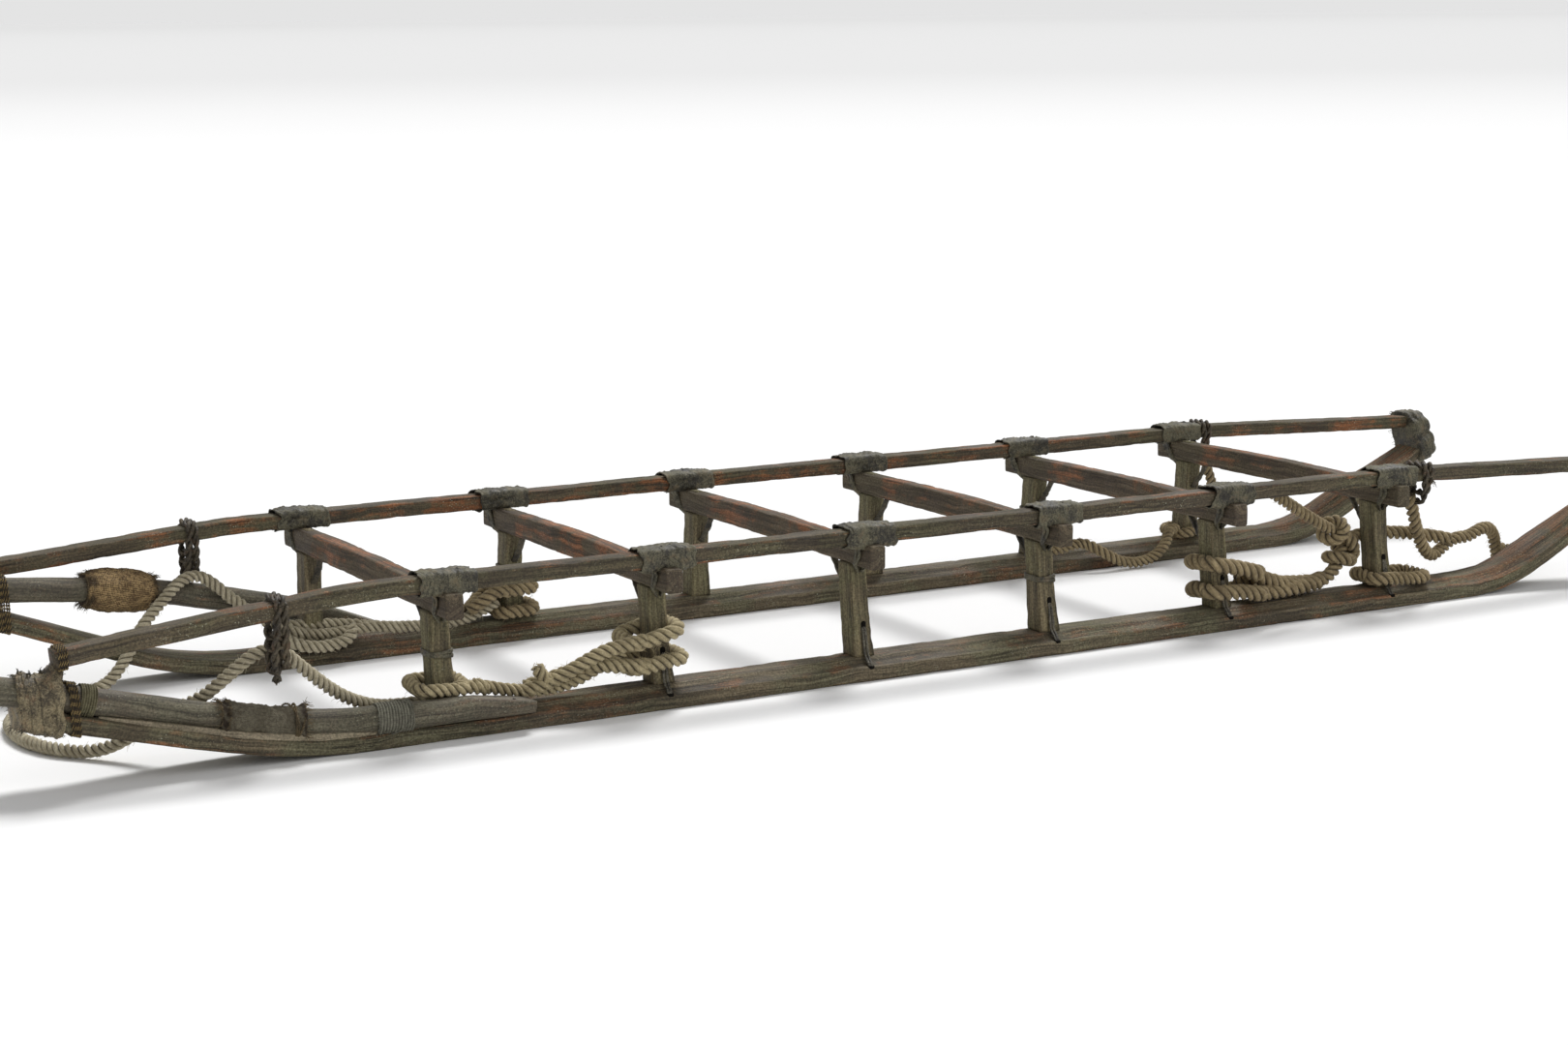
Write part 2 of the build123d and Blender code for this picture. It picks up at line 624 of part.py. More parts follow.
def pole_outline(side, x):
    """Outline round the bow and the runner's nose below it."""
    low, half, centre = sole_z(side, x), tip_half_width(side, x), on_bow(side, x)
    y = centre.Y * sides[side]
    edge = runner_edge / cos(radians(nose_angle[side]))
    shoulder = 0.45 * bow_radius
    crown, cheek = centre.Z + bow_radius + 1, centre.Z + shoulder
    return [(y + shoulder, crown), (y + bow_radius, cheek), (runner_y + half, low + edge), (runner_y + half, low),
            (runner_y - half, low), (runner_y - half, low + edge), (y - bow_radius, cheek), (y - shoulder, crown)]


def make_rail_thongs(side):
    """Thong bound round each bent end of the rail, its twisted tail hanging where the ropes are made fast."""
    y = sides[side] * rail_y
    neck, belly, tip = thong_tail_radii
    with BuildPart() as thongs:
        for end, distance, tail in rail_thongs[side]:
            line = rail_end_line(side, end)
            x = first_bay_x + distance if end == "front" else last_bay_x - distance
            along = station(line, x) if end == "front" else station(line, x, 1.0, 0.0)
            wrap_rail(section_plane(line, along), rail_thong_width)
            top = (line @ along).Z - rail_height / 2 - hide / 2
            with BuildSketch(Plane.XZ.offset(-y)):
                with Locations((x, top)):
                    Polygon((0, 0), (neck, 0), (belly, -0.3 * tail), (tip, -tail), (0, -tail), align=None)
            revolve(axis=Axis((x, y, 0), (0, 0, 1)))
    return thongs


def make_rope_turns(side):
    """Closed turns of rope round the feet of the uprights."""
    sign = sides[side]
    with BuildPart() as turns:
        for i, z, ahead, behind in rope_turns[side]:
            clear = rope_radius + joint_gap
            over_thong = thong_thickness + 1 if z - rope_radius < foot_z + thong_height else 0
            inner = upright_section(z + rope_radius)[1] - upright_depth / 2 - clear
            outer = upright_face(z - rope_radius) + clear + over_thong
            rear, front = bays[i] - behind + rope_radius, bays[i] + ahead - rope_radius
            with BuildLine(Plane.XY.offset(z)) as turn:
                FilletPolyline((rear, sign * inner), (front, sign * inner), (front, sign * outer),
                               (rear, sign * outer), close=True, radius=turn_corner)
            tube(turn.line, rope_radius)
    return turns


def make_rope(points):
    line = bent_line(points)
    with BuildPart() as rope:
        tube(line, rope_radius)
    return rope, line


def save(builder, name):
    builder.part.label = name
    export_step(builder.part, f"parts/{name}.step")


os.makedirs("parts", exist_ok=True)

for side in sides:
    save(make_runner(side), f"runner_{side}")
    save(make_rail_middle(side), f"side_rail_{side}")
    for end in ("front", "rear"):
        save(make_rail_end(side, end), f"rail_{end}_{side}")
    save(make_stays(side), f"stays_{side}")
    save(make_rail_lashings(side), f"rail_lashings_{side}")
    save(make_foot_thongs(side), f"foot_thongs_{side}")
    save(make_upright_bands(side), f"upright_bands_{side}")
    save(make_rail_thongs(side), f"rail_thongs_{side}")
    save(make_rope_turns(side), f"rope_turns_{side}")
    for i, x in enumerate(bays):
        save(make_upright(side, x), f"upright_{side}_{i + 1}")

for i, x in enumerate(bays):
    save(make_crossbar(x), f"crossbar_{i + 1}")

save(make_bow(), "nose_bow")

# bindings at the tips: side, from and to, ahead of the first upright or behind the last
for side, near, far in (("left", 566, 636), ("right", 520, 590)):
    save(make_band(side, first_bay_x + near, first_bay_x + far, tip_outline), f"front_binding_{side}")
for side in sides:
    save(make_band(side, last_bay_x - 572, last_bay_x - 640, tip_outline), f"rear_binding_{side}")
save(make_band("left", first_bay_x + 540, first_bay_x + 560, pole_outline), "tip_cord_left")

# wrappings of the bow: side, from, to, inner and outer radius, swell, open below
wrappings = {
    "canvas_wrap_left": ("left", 225, 345, bow_radius + 2, bow_radius + 6, 0, True),
    "burlap_wrap_right": ("right", 262, 372, bow_radius + 1.5, bow_radius + 8, 9, False),
    "whipping_left": ("left", 64, 116, bow_radius + 1, bow_radius + 4, 0, True),
    "tip_whipping_left": ("left", 514, 534, bow_radius + 1, bow_radius + 4, 0, True),
}
for name, wrapping in wrappings.items():
    save(make_sleeve(*wrapping), name)

for name, route in rope_routes.items():
    rope, line = make_rope(route)
    save(rope, name)
    print(name, "length", round(sum(edge.length for edge in line.edges())))
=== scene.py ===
"""Lashed wooden dog sled: weathered runners, uprights, crossbars, rails and nose bow, with hide lashings,
laid ropes and frayed wrappings. Lengths are in metres. X runs to the towing end, Y to the sled's left and
Z up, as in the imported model."""
import math

import bmesh
import bpy
import numpy as np
from mathutils import Matrix, Vector


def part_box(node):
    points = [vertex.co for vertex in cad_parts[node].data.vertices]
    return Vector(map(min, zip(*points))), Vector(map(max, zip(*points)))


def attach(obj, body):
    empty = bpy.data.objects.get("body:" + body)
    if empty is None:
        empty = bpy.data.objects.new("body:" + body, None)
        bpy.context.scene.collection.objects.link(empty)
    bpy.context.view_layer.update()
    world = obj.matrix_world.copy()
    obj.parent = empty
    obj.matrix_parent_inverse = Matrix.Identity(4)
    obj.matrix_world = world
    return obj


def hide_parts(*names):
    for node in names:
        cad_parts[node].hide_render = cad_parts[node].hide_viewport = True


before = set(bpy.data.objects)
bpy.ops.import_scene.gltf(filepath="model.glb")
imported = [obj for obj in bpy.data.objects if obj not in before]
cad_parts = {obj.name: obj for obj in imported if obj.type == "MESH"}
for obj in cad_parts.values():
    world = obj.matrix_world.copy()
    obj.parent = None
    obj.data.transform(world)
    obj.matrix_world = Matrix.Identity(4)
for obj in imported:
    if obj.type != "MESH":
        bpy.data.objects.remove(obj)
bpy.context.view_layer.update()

SIDES = {"left": 1, "right": -1}
TAU = 2 * math.pi

# ---- places taken from the frame ---------------------------------------------------------------


def box(node):
    low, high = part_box(node)
    return np.array(low), np.array(high)


BAYS = [float(np.mean([box(f"crossbar_{i}")[0][0], box(f"crossbar_{i}")[1][0]])) for i in range(1, 7)]
RUNNER_Y = float(np.mean([box("runner_left")[0][1], box("runner_left")[1][1]]))
RAIL_LOW, RAIL_HIGH = box("side_rail_left")
RAIL_Y = float((RAIL_LOW[1] + RAIL_HIGH[1]) / 2)
RAIL_Z = float((RAIL_LOW[2] + RAIL_HIGH[2]) / 2)
RAIL_WIDTH, RAIL_HEIGHT = float(RAIL_HIGH[1] - RAIL_LOW[1]), float(RAIL_HIGH[2] - RAIL_LOW[2])
BAR_HALF = float(box("crossbar_1")[1][1])
BAR_LOW = float(box("crossbar_1")[0][2])
BAR_TOP = RAIL_Z - RAIL_HEIGHT / 2
BAR_WIDTH = float(box("crossbar_1")[1][0] - box("crossbar_1")[0][0])

# ---- runner, rail, upright and bow sizes, as in the part ---------------------------------------
RUNNER_WIDTH, BOARD, RIB_RISE = 0.092, 0.024, 0.012
RIB_HALF, RIB_ROOT_HALF, FLANK_SAG = 0.021, 0.042, 0.0025
HEEL_START, HEEL_RADIUS, HEEL_ANGLE, HEEL_STRAIGHT = 0.185, 0.395, math.radians(25), 0.285
NOSE_START = {"left": 0.125, "right": 0.092}
NOSE_RADIUS = {"left": 0.9, "right": 0.65}
NOSE_ANGLE = {"left": math.radians(14), "right": math.radians(21)}
NOSE_STRAIGHT = {"left": 0.29, "right": 0.265}
TIP_WIDTH, TIP_TAPER = 0.062, 0.23
RIB_FRONT, RIB_RUN_OUT, RIB_HEEL_MARGIN = 0.045, 0.026, 0.095
FOOT_Z = BOARD + RIB_RISE
UPRIGHT_DEPTH, UPRIGHT_WIDTH, FOOT_WIDTH, FOOT_SHIFT, FLARE_TOP = 0.04, 0.031, 0.038, -0.0035, 0.118
UPRIGHT_TOP_Y = 0.27
RAIL_BEND = 1.5
RAIL_ENDS = {("left", "front"): (0.06, math.radians(6), 0.365), ("right", "front"): (0.06,
    math.radians(4.5), 0.365), ("left", "rear"): (0.02, math.radians(2.3), 0.521),
             ("right", "rear"): (0.02, math.radians(2.3), 0.521)}
BOW_RADIUS = 0.02
# the foot thong's slot above the upright's foot, and its hole out from the runner's middle
THONG_SLOT_RISE, THONG_HOLE_OUT = 0.048, 0.042

# ---- arrays and meshes --------------------------------------------------------------------------


RIPPLE_WAVES = 7


def ripple(u, v, seed, reach=1.0):
    """Smooth random field of u and v, about -1 to 1: a sum of sines whose directions, phases and lengths
    come from the seed, the shortest being reach / 3."""
    rng = np.random.default_rng(seed)
    total = np.zeros(np.broadcast(u, v).shape)
    for _ in range(RIPPLE_WAVES):
        turn, phase, pace = rng.uniform(0, TAU), rng.uniform(0, TAU), rng.uniform(1, 3) * TAU / reach
        total = total + np.sin(pace * (u * math.cos(turn) + v * math.sin(turn)) + phase)
    return total / math.sqrt(RIPPLE_WAVES) / 1.2


def unit(a):
    return a / np.maximum(np.linalg.norm(a, axis=-1, keepdims=True), 1e-12)


def along(points):
    """Distance from the first point to each point of a line."""
    return np.concatenate([[0], np.cumsum(np.linalg.norm(np.diff(points, axis=0), axis=1))])


def resample(points, count):
    """Points at even spacing along a line: each coordinate is interpolated over the distance run."""
    s = along(points)
    t = np.linspace(0, s[-1], count)
    return np.stack([np.interp(t, s, points[:, k]) for k in range(3)], axis=1)


def new_mesh_piece(name, vertices, faces, uv=None, edge=None, smooth=True):
    """Object from arrays of vertices and faces, with its faces turned outwards, a UV map given per face
    corner and an edge attribute given per vertex, which carries wear on wood and painted shade on hide, rope,
    twine and cloth."""
    mesh = bpy.data.meshes.new(name)
    mesh.from_pydata(vertices, [], faces)
    if uv is not None:
        layer = mesh.uv_layers.new(name="UVMap")
        layer.data.foreach_set("uv", np.asarray(uv, np.float32).ravel())
    if edge is not None:
        mesh.attributes.new("edge", "FLOAT", "POINT").data.foreach_set("value", np.asarray(edge, np.float32))
    shell = bmesh.new()
    shell.from_mesh(mesh)
    bmesh.ops.recalc_face_normals(shell, faces=shell.faces)
    shell.to_mesh(mesh)
    shell.free()
    mesh.polygons.foreach_set("use_smooth", np.full(len(mesh.polygons), smooth))
    piece = bpy.data.objects.new(name, mesh)
    bpy.context.scene.collection.objects.link(piece)
    return piece


def quad_mesh(grid, bands, run, girth):
    """Quads from each row of a grid to the next, over a number of bands, with the UV of their corners. The
    last column joins the first, and so does the last row where there is a band for each row."""
    rows, cols = grid.shape[:2]
    i, j = (a.ravel() for a in np.meshgrid(np.arange(bands), np.arange(cols), indexing="ij"))
    ni, nj = (i + 1) % rows, (j + 1) % cols
    quads = np.stack([i * cols + j, i * cols + nj, ni * cols + nj, ni * cols + j], axis=1)
    corner_u = np.stack([run[i], run[i], run[i + 1], run[i + 1]], axis=1)
    corner_v = np.stack([girth[j], girth[j + 1], girth[j + 1], girth[j]], axis=1)
    return quads, np.stack([corner_u, corner_v], axis=-1).reshape(-1, 2)


def skin(grids, edges=None):
    """Vertices, faces, UV and edge values for closed tubes, each a grid of rows along it and columns round
    it. U runs along the rows and V round the columns, both in metres."""
    vertices, faces, uvs, edge_values, base = [], [], [], [], 0
    for k, grid in enumerate(grids):
        rows, cols = grid.shape[:2]
        run = along(grid.mean(axis=1))
        girth = along(np.concatenate([grid[rows // 2], grid[rows // 2, :1]]))
        quads, corners = quad_mesh(grid, rows - 1, run, girth)
        faces += (quads + base).tolist()
        uvs.append(corners)
        vertices.append(grid.reshape(-1, 3))
        for row in (0, rows - 1):
            faces.append((base + row * cols + np.arange(cols)).tolist())
            uvs.append(np.stack([np.full(cols, run[row]), girth[:-1]], axis=1))
        edge_values.append((np.zeros((rows, cols)) if edges is None else np.broadcast_to(edges[k],
            (rows, cols))).ravel())
        base += rows * cols
    return np.concatenate(vertices), faces, np.concatenate(uvs), np.concatenate(edge_values)


def tube_piece(name, grids, edges=None):
    return new_mesh_piece(name, *skin(grids, edges))


def carry(path, section, up=(0, 0, 1)):
    """Grid of a section carried along a path. The section's first coordinate runs across the path, level
    where it can be, and the second upwards: point = path + y * across + z * rise."""
    tangent = unit(np.gradient(path, axis=0))
    across = unit(np.cross(np.asarray(up, float), tangent))
    rise = np.cross(tangent, across)
    section = np.broadcast_to(section, (len(path),) + section.shape[-2:])
    return path[:, None] + section[..., :1] * across[:, None] + section[..., 1:] * rise[:, None]


def turned_frames(path):
    """Tangent, side and rise along a path, the side carried on without twist from row to row."""
    tangent = unit(np.gradient(path, axis=0))
    side = np.zeros_like(path)
    first = np.cross(tangent[0], (0.0, 0.0, 1.0))
    side[0] = unit(first if np.linalg.norm(first) > 1e-3 else np.array((1.0, 0, 0)))
    for k in range(1, len(path)):
        side[k] = unit(side[k - 1] - tangent[k] * np.dot(side[k - 1], tangent[k]))
    return tangent, side, np.cross(tangent, side)


def round_tube(path, radius, around=14):
    """Grid of a round tube: path + radius * (cos a * side + sin a * rise)."""
    _, side, rise = turned_frames(path)
    a = np.linspace(0, TAU, around, endpoint=False)
    radius = np.broadcast_to(radius, (len(path),))[:, None, None]
    return path[:, None] + radius * (np.cos(a)[None, :, None] * side[:, None] + np.sin(a)[None, :,
        None] * rise[:, None])


def rounded_box(width, height, radius, straight=7, corner=5):
    """Points round a rectangle with rounded corners, and how near each is to a corner, 0 to 1."""
    points, near = [], []
    centres = [(width / 2 - radius, height / 2 - radius, 0), (-width / 2 + radius, height / 2 - radius, 1),
               (-width / 2 + radius, -height / 2 + radius, 2), (width / 2 - radius, -height / 2 + radius, 3)]
    for k, (cy, cz, quarter) in enumerate(centres):
        a = (quarter + np.linspace(0, 1, corner)) * math.pi / 2
        arc = np.stack([cy + radius * np.cos(a), cz + radius * np.sin(a)], axis=1)
        ny, nz, _ = centres[(k + 1) % 4]
        b = (quarter + 1) * math.pi / 2
        end = np.array([ny + radius * math.cos(b), nz + radius * math.sin(b)])
        t = np.linspace(0, 1, straight + 2)[1:-1, None]
        points += [arc, arc[-1] + (end - arc[-1]) * t]
        near += [np.ones(corner), np.abs(1 - 2 * t[:, 0]) ** 6 * 0.8]
    return np.concatenate(points), np.concatenate(near)


def nurbs_line(route, resolution=16):
    """Points of the smooth line that a NURBS curve of order 3 makes of a route's points."""
    data = bpy.data.curves.new("route", "CURVE")
    data.dimensions = "3D"
    spline = data.splines.new("NURBS")
    spline.points.add(len(route) - 1)
    weighted = np.concatenate([np.asarray(route, float), np.ones((len(route), 1))], axis=1)
    spline.points.foreach_set("co", weighted.ravel())
    spline.order_u = 3
    spline.use_endpoint_u = True
    curve = bpy.data.objects.new("route", data)
    bpy.context.scene.collection.objects.link(curve)
    data.resolution_u = resolution
    bpy.context.view_layer.update()
    mesh = bpy.data.meshes.new_from_object(curve)
    points = np.zeros(len(mesh.vertices) * 3)
    mesh.vertices.foreach_get("co", points)
    bpy.data.meshes.remove(mesh)
    bpy.data.objects.remove(curve)
    return points.reshape(-1, 3)


# ---- shader nodes -------------------------------------------------------------------------------


# what each surface group puts out, and the kind of each socket
SURFACE = {"Color": "Color", "Height": "Float", "Roughness": "Float"}


class Net:
    """Short-hand for adding shader nodes to one tree and joining them."""

    def __init__(self, tree):
        self.tree = tree

    def add(self, kind, values=(), **settings):
        """New node. Each value is set on, or joined to, the input of that name or number."""
        node = self.tree.nodes.new(kind)
        for key, value in settings.items():
            setattr(node, key, value)
        for key, value in dict(values).items():
            if isinstance(value, bpy.types.NodeSocket):
                self.tree.links.new(value, node.inputs[key])
            else:
                node.inputs[key].default_value = value
        return node

    def math(self, operation, a, b=0.0, clamp=False):
        return self.add("ShaderNodeMath", {0: a, 1: b}, operation=operation, use_clamp=clamp).outputs[0]

    def mix(self, amount, a, b, blend="MIX"):
        return self.add("ShaderNodeMix", {0: amount, 6: a, 7: b}, data_type="RGBA",
                        blend_type=blend).outputs[2]

    def span(self, value, low, high, to_low=0.0, to_high=1.0):
        """Value taken from low..high to to_low..to_high and held there."""
        values = {0: value, 1: low, 2: high, 3: to_low, 4: to_high}
        return self.add("ShaderNodeMapRange", values, clamp=True, interpolation_type="SMOOTHSTEP").outputs[0]

    def stretch(self, vector, scale, shift=(0, 0, 0)):
        return self.add("ShaderNodeMapping", {"Vector": vector, "Scale": scale, "Location": shift}).outputs[0]

    def noise(self, vector, scale, detail=3.0, rough=0.55, bend=0.0):
        values = {"Vector": vector, "Scale": scale, "Detail": detail, "Roughness": rough, "Distortion": bend}
        return self.add("ShaderNodeTexNoise", values).outputs[0]

    def put_out(self, take, *values):
        """Join a surface's colour, height and roughness to its group's outputs."""
        for name, value in zip(SURFACE, values):
            self.tree.links.new(value, take[name])
        return self.tree


def new_group(name, inputs):
    """Empty shader group with the outputs of a surface and named inputs, given as name: (kind, default)."""
    tree = bpy.data.node_groups.new(name, "ShaderNodeTree")
    for socket, (kind, default) in inputs.items():
        made = tree.interface.new_socket(name=socket, in_out="INPUT", socket_type=f"NodeSocket{kind}")
        if default is not None:
            made.default_value = default
    for socket, kind in SURFACE.items():
        tree.interface.new_socket(name=socket, in_out="OUTPUT", socket_type=f"NodeSocket{kind}")
    net = Net(tree)
    return net, net.add("NodeGroupInput").outputs, net.add("NodeGroupOutput").inputs


def make_wood_group():
    """Weathered wood. Grain and checks run along U, and the checks are painted near-black as shade inside the
    cracks; patina and stains lie in object space, and the edge attribute is worn back to redder wood. Height
    is in millimetres."""
    net, give, take = new_group(
        "weathered_wood",
        {"Grain": ("Vector", None), "Place": ("Vector", None), "Wear And Painted Shade": ("Float", 0.0),
         "Dark": ("Color", (0.05, 0.04, 0.03, 1)), "Pale": ("Color", (0.2, 0.17, 0.13, 1)),
         "Patina": ("Color", (0.12, 0.12, 0.08, 1)), "Worn": ("Color", (0.2, 0.1, 0.05, 1)),
         "Patina Amount": ("Float", 0.5), "Worn Amount": ("Float", 0.5), "Speck Amount": ("Float", 0.5),
         "Check Amount": ("Float", 0.5)})
    sway = net.noise(net.stretch(give["Place"], (9, 9, 9)), 1.0, 2)
    warp = net.math("MULTIPLY", net.math("SUBTRACT", sway, 0.5), 0.02)
    grain_at = net.add("ShaderNodeVectorMath", {0: give["Grain"], 1: net.add(
        "ShaderNodeCombineXYZ", {1: warp}).outputs[0]}, operation="ADD").outputs[0]
    coarse = net.noise(net.stretch(grain_at, (5, 190, 1)), 1.0, 5, 0.6, 0.4)
    fine = net.noise(net.stretch(grain_at, (14, 900, 1)), 1.0, 3, 0.7)
    streak = net.noise(net.stretch(grain_at, (1.6, 60, 1)), 1.0, 4, 0.55)
    blot = net.noise(give["Place"], 7.0, 5, 0.62)
    stain = net.noise(net.stretch(give["Place"], (1, 1, 1), (3.1, 1.7, 0.4)), 16.0, 6, 0.7)
    checks = net.noise(net.stretch(grain_at, (3.2, 210, 1), (0.3, 0.8, 0)), 1.0, 2, 0.5)
    check = net.math("MULTIPLY", net.span(net.math("ABSOLUTE", net.math("SUBTRACT", checks, 0.5)),
        0.0, 0.018, 1, 0), net.span(net.noise(net.stretch(grain_at, (4, 22, 1)), 1.0, 2), 0.50, 0.60))
    check = net.math("MULTIPLY", check, give["Check Amount"])
    grit = net.noise(give["Place"], 300.0, 3, 0.7)
    tone = net.math("ADD", net.math("MULTIPLY", coarse, 0.6), net.math("MULTIPLY", fine, 0.4))
    color = net.mix(net.span(tone, 0.33, 0.68), give["Dark"], give["Pale"])
    color = net.mix(net.math("MULTIPLY", net.span(streak, 0.45, 0.60), 0.62), color, give["Dark"])
    patina = net.math("MULTIPLY", net.span(net.math("ADD", blot, net.math("MULTIPLY", stain, 0.25)),
        0.54, 0.74), give["Patina Amount"])
    mossy = net.mix(net.span(tone, 0.30, 0.66), give["Dark"], give["Patina"])
    color = net.mix(patina, color, mossy)
    rubbed = net.math("ADD", give["Wear And Painted Shade"], net.math("MULTIPLY", net.math("SUBTRACT", stain, 0.5), 2.2))
    rubbed = net.math("ADD", rubbed, net.math("MULTIPLY", net.math("SUBTRACT", streak, 0.5), 1.6))
    worn = net.math("MULTIPLY", net.span(rubbed, 0.42, 0.85), give["Worn Amount"])
    worn_tone = net.mix(net.span(tone, 0.36, 0.62), give["Dark"], give["Worn"])
    color = net.mix(worn, color, worn_tone)
    shade = net.span(grit, 0.33, 0.66, 0.62, 1.38)
    color = net.mix(1.0, color, net.add("ShaderNodeCombineColor", {0: shade, 1: shade,
        2: shade}).outputs[0], "MULTIPLY")
    freckle = net.noise(give["Place"], 420.0, 2, 0.5)
    speck = net.math("MULTIPLY", net.span(freckle, 0.64, 0.70), net.span(stain, 0.42, 0.60))
    speck = net.math("MULTIPLY", speck, give["Speck Amount"])
    color = net.mix(speck, color, (0.40, 0.39, 0.28, 1))
    # painted shade: the checks turn near-black, as the inside of a crack is shaded
    color = net.mix(net.math("MULTIPLY", check, 0.92), color, (0.008, 0.006, 0.005, 1))
    height = net.math("ADD", net.math("MULTIPLY", tone, 0.9), net.math("MULTIPLY", grit, 0.45))
    height = net.math("SUBTRACT", height, net.math("MULTIPLY", check, 1.1))
    return net.put_out(take, color, height, net.span(blot, 0.3, 0.7, 0.66, 0.9))


def make_hide_group():
    """Dried hide: cloudy stains and pale specks, with wrinkles across V whose troughs are darkened as painted
    shade, and near-black painted shade where the edge attribute marks folds, inner walls and lapped strip
    edges. Height is in millimetres."""
    net, give, take = new_group(
        "dried_hide",
        {"Along": ("Vector", None), "Place": ("Vector", None), "Dark": ("Color", (0.03, 0.03, 0.02, 1)),
         "Pale": ("Color", (0.2, 0.2, 0.16, 1)), "Stain": ("Color", (0.2, 0.12, 0.07, 1)),
         "Stain Amount": ("Float", 0.3), "Speck Amount": ("Float", 0.5), "Wear And Painted Shade": ("Float", 0.0)})
    cloud = net.noise(give["Place"], 26.0, 6, 0.62, 0.3)
    blot = net.noise(net.stretch(give["Place"], (1, 1, 1), (0.7, 2.3, 1.1)), 55.0, 5, 0.7)
    wrinkle = net.noise(net.stretch(give["Along"], (320, 45, 1)), 1.0, 4, 0.6, 0.5)
    tone = net.math("ADD", net.math("MULTIPLY", cloud, 0.6), net.math("MULTIPLY", blot, 0.4))
    grit = net.noise(give["Place"], 380.0, 3, 0.7)
    tone = net.math("ADD", tone, net.math("MULTIPLY", net.math("SUBTRACT", grit, 0.5), 0.55))
    color = net.mix(net.span(tone, 0.38, 0.64), give["Dark"], give["Pale"])
    color = net.mix(net.math("MULTIPLY", net.span(blot, 0.52, 0.66), give["Stain Amount"]), color,
                    give["Stain"])
    # painted shade in the troughs of the wrinkles
    color = net.mix(net.math("MULTIPLY", net.span(wrinkle, 0.40, 0.30), 0.75), color, give["Dark"])
    freckle = net.noise(give["Place"], 620.0, 2, 0.5)
    speck = net.math("MULTIPLY", net.math("MULTIPLY", net.span(freckle, 0.66, 0.72), net.span(cloud,
        0.42, 0.6)), give["Speck Amount"])
    color = net.mix(speck, color, (0.42, 0.41, 0.33, 1))
    # painted shade: near-black where the edge attribute marks fold troughs, inner walls and lapped strip
    # edges
    color = net.mix(net.math("MULTIPLY", give["Wear And Painted Shade"], 0.85), color, (0.006, 0.005, 0.004, 1))
    height = net.math("ADD", net.math("MULTIPLY", wrinkle, 1.1), net.math("MULTIPLY", net.math("ADD",
        blot, grit), 0.6))
    return net.put_out(take, color, height, net.span(cloud, 0.3, 0.7, 0.5, 0.78))


def make_fibre_group():
    """Fibres along U with soil in patches, for rope strands, threads and woven cloth. Weave is how strongly
    an over-and-under weave of threads shows. The edge attribute mixes in the groove colour: painted shade
    between rope strands, between the turns of a whipping and on a cloth's inner wall, and dark patches
    towards a cloth's ends. Height is in millimetres."""
    net, give, take = new_group("fibres", {"Along": ("Vector", None), "Place": ("Vector", None),
        "Pale": ("Color", (0.6, 0.55, 0.45, 1)), "Dark": ("Color", (0.2, 0.16, 0.1, 1)),
        "Soil": ("Color", (0.08, 0.06, 0.04, 1)), "Soil Amount": ("Float", 0.3), "Weave": ("Float",
        0.0), "Threads": ("Float", 900.0), "Slant": ("Float", 0.0), "Wear And Painted Shade": ("Float", 0.0),
        "Grit": ("Float", 0.6), "Painted Groove Shade": ("Color", (0.03, 0.022, 0.014, 1))})
    fibre = net.noise(net.stretch(give["Along"], (60, 1500, 1)), 1.0, 3, 0.65, 0.3)
    turned = net.add("ShaderNodeVectorRotate", {"Vector": give["Along"],
        "Angle": give["Slant"]}, rotation_type="Z_AXIS").outputs[0]
    parts = net.add("ShaderNodeSeparateXYZ", {0: turned}).outputs
    warp, weft = (net.math("SINE", net.math("MULTIPLY", parts[k], give["Threads"])) for k in (0, 1))
    weave = net.math("MULTIPLY", net.math("MULTIPLY", warp, weft), give["Weave"])
    cloud = net.noise(give["Place"], 38.0, 5, 0.65)
    grit = net.math("SUBTRACT", net.noise(give["Place"], 240.0, 4, 0.75), 0.5)
    tone = net.math("ADD", net.math("ADD", fibre, net.math("MULTIPLY", weave, 0.45)),
                    net.math("MULTIPLY", grit, give["Grit"]))
    color = net.mix(net.span(tone, 0.32, 0.66), give["Dark"], give["Pale"])
    color = net.mix(net.math("MULTIPLY", net.span(cloud, 0.42, 0.7), give["Soil Amount"]), color,
                    give["Soil"])
    # painted shade in the groove colour where the edge attribute marks grooves between strands, gaps between
    # whipping turns and a cloth's inner wall; dark patches towards a cloth's ends
    color = net.mix(net.math("MULTIPLY", give["Wear And Painted Shade"], 0.9), color, give["Painted Groove Shade"])
    height = net.math("ADD", net.math("MULTIPLY", net.math("ADD", fibre, grit), 0.5),
                      net.math("MULTIPLY", weave, 0.8))
    return net.put_out(take, color, height, net.span(cloud, 0.3, 0.7, 0.82, 0.95))


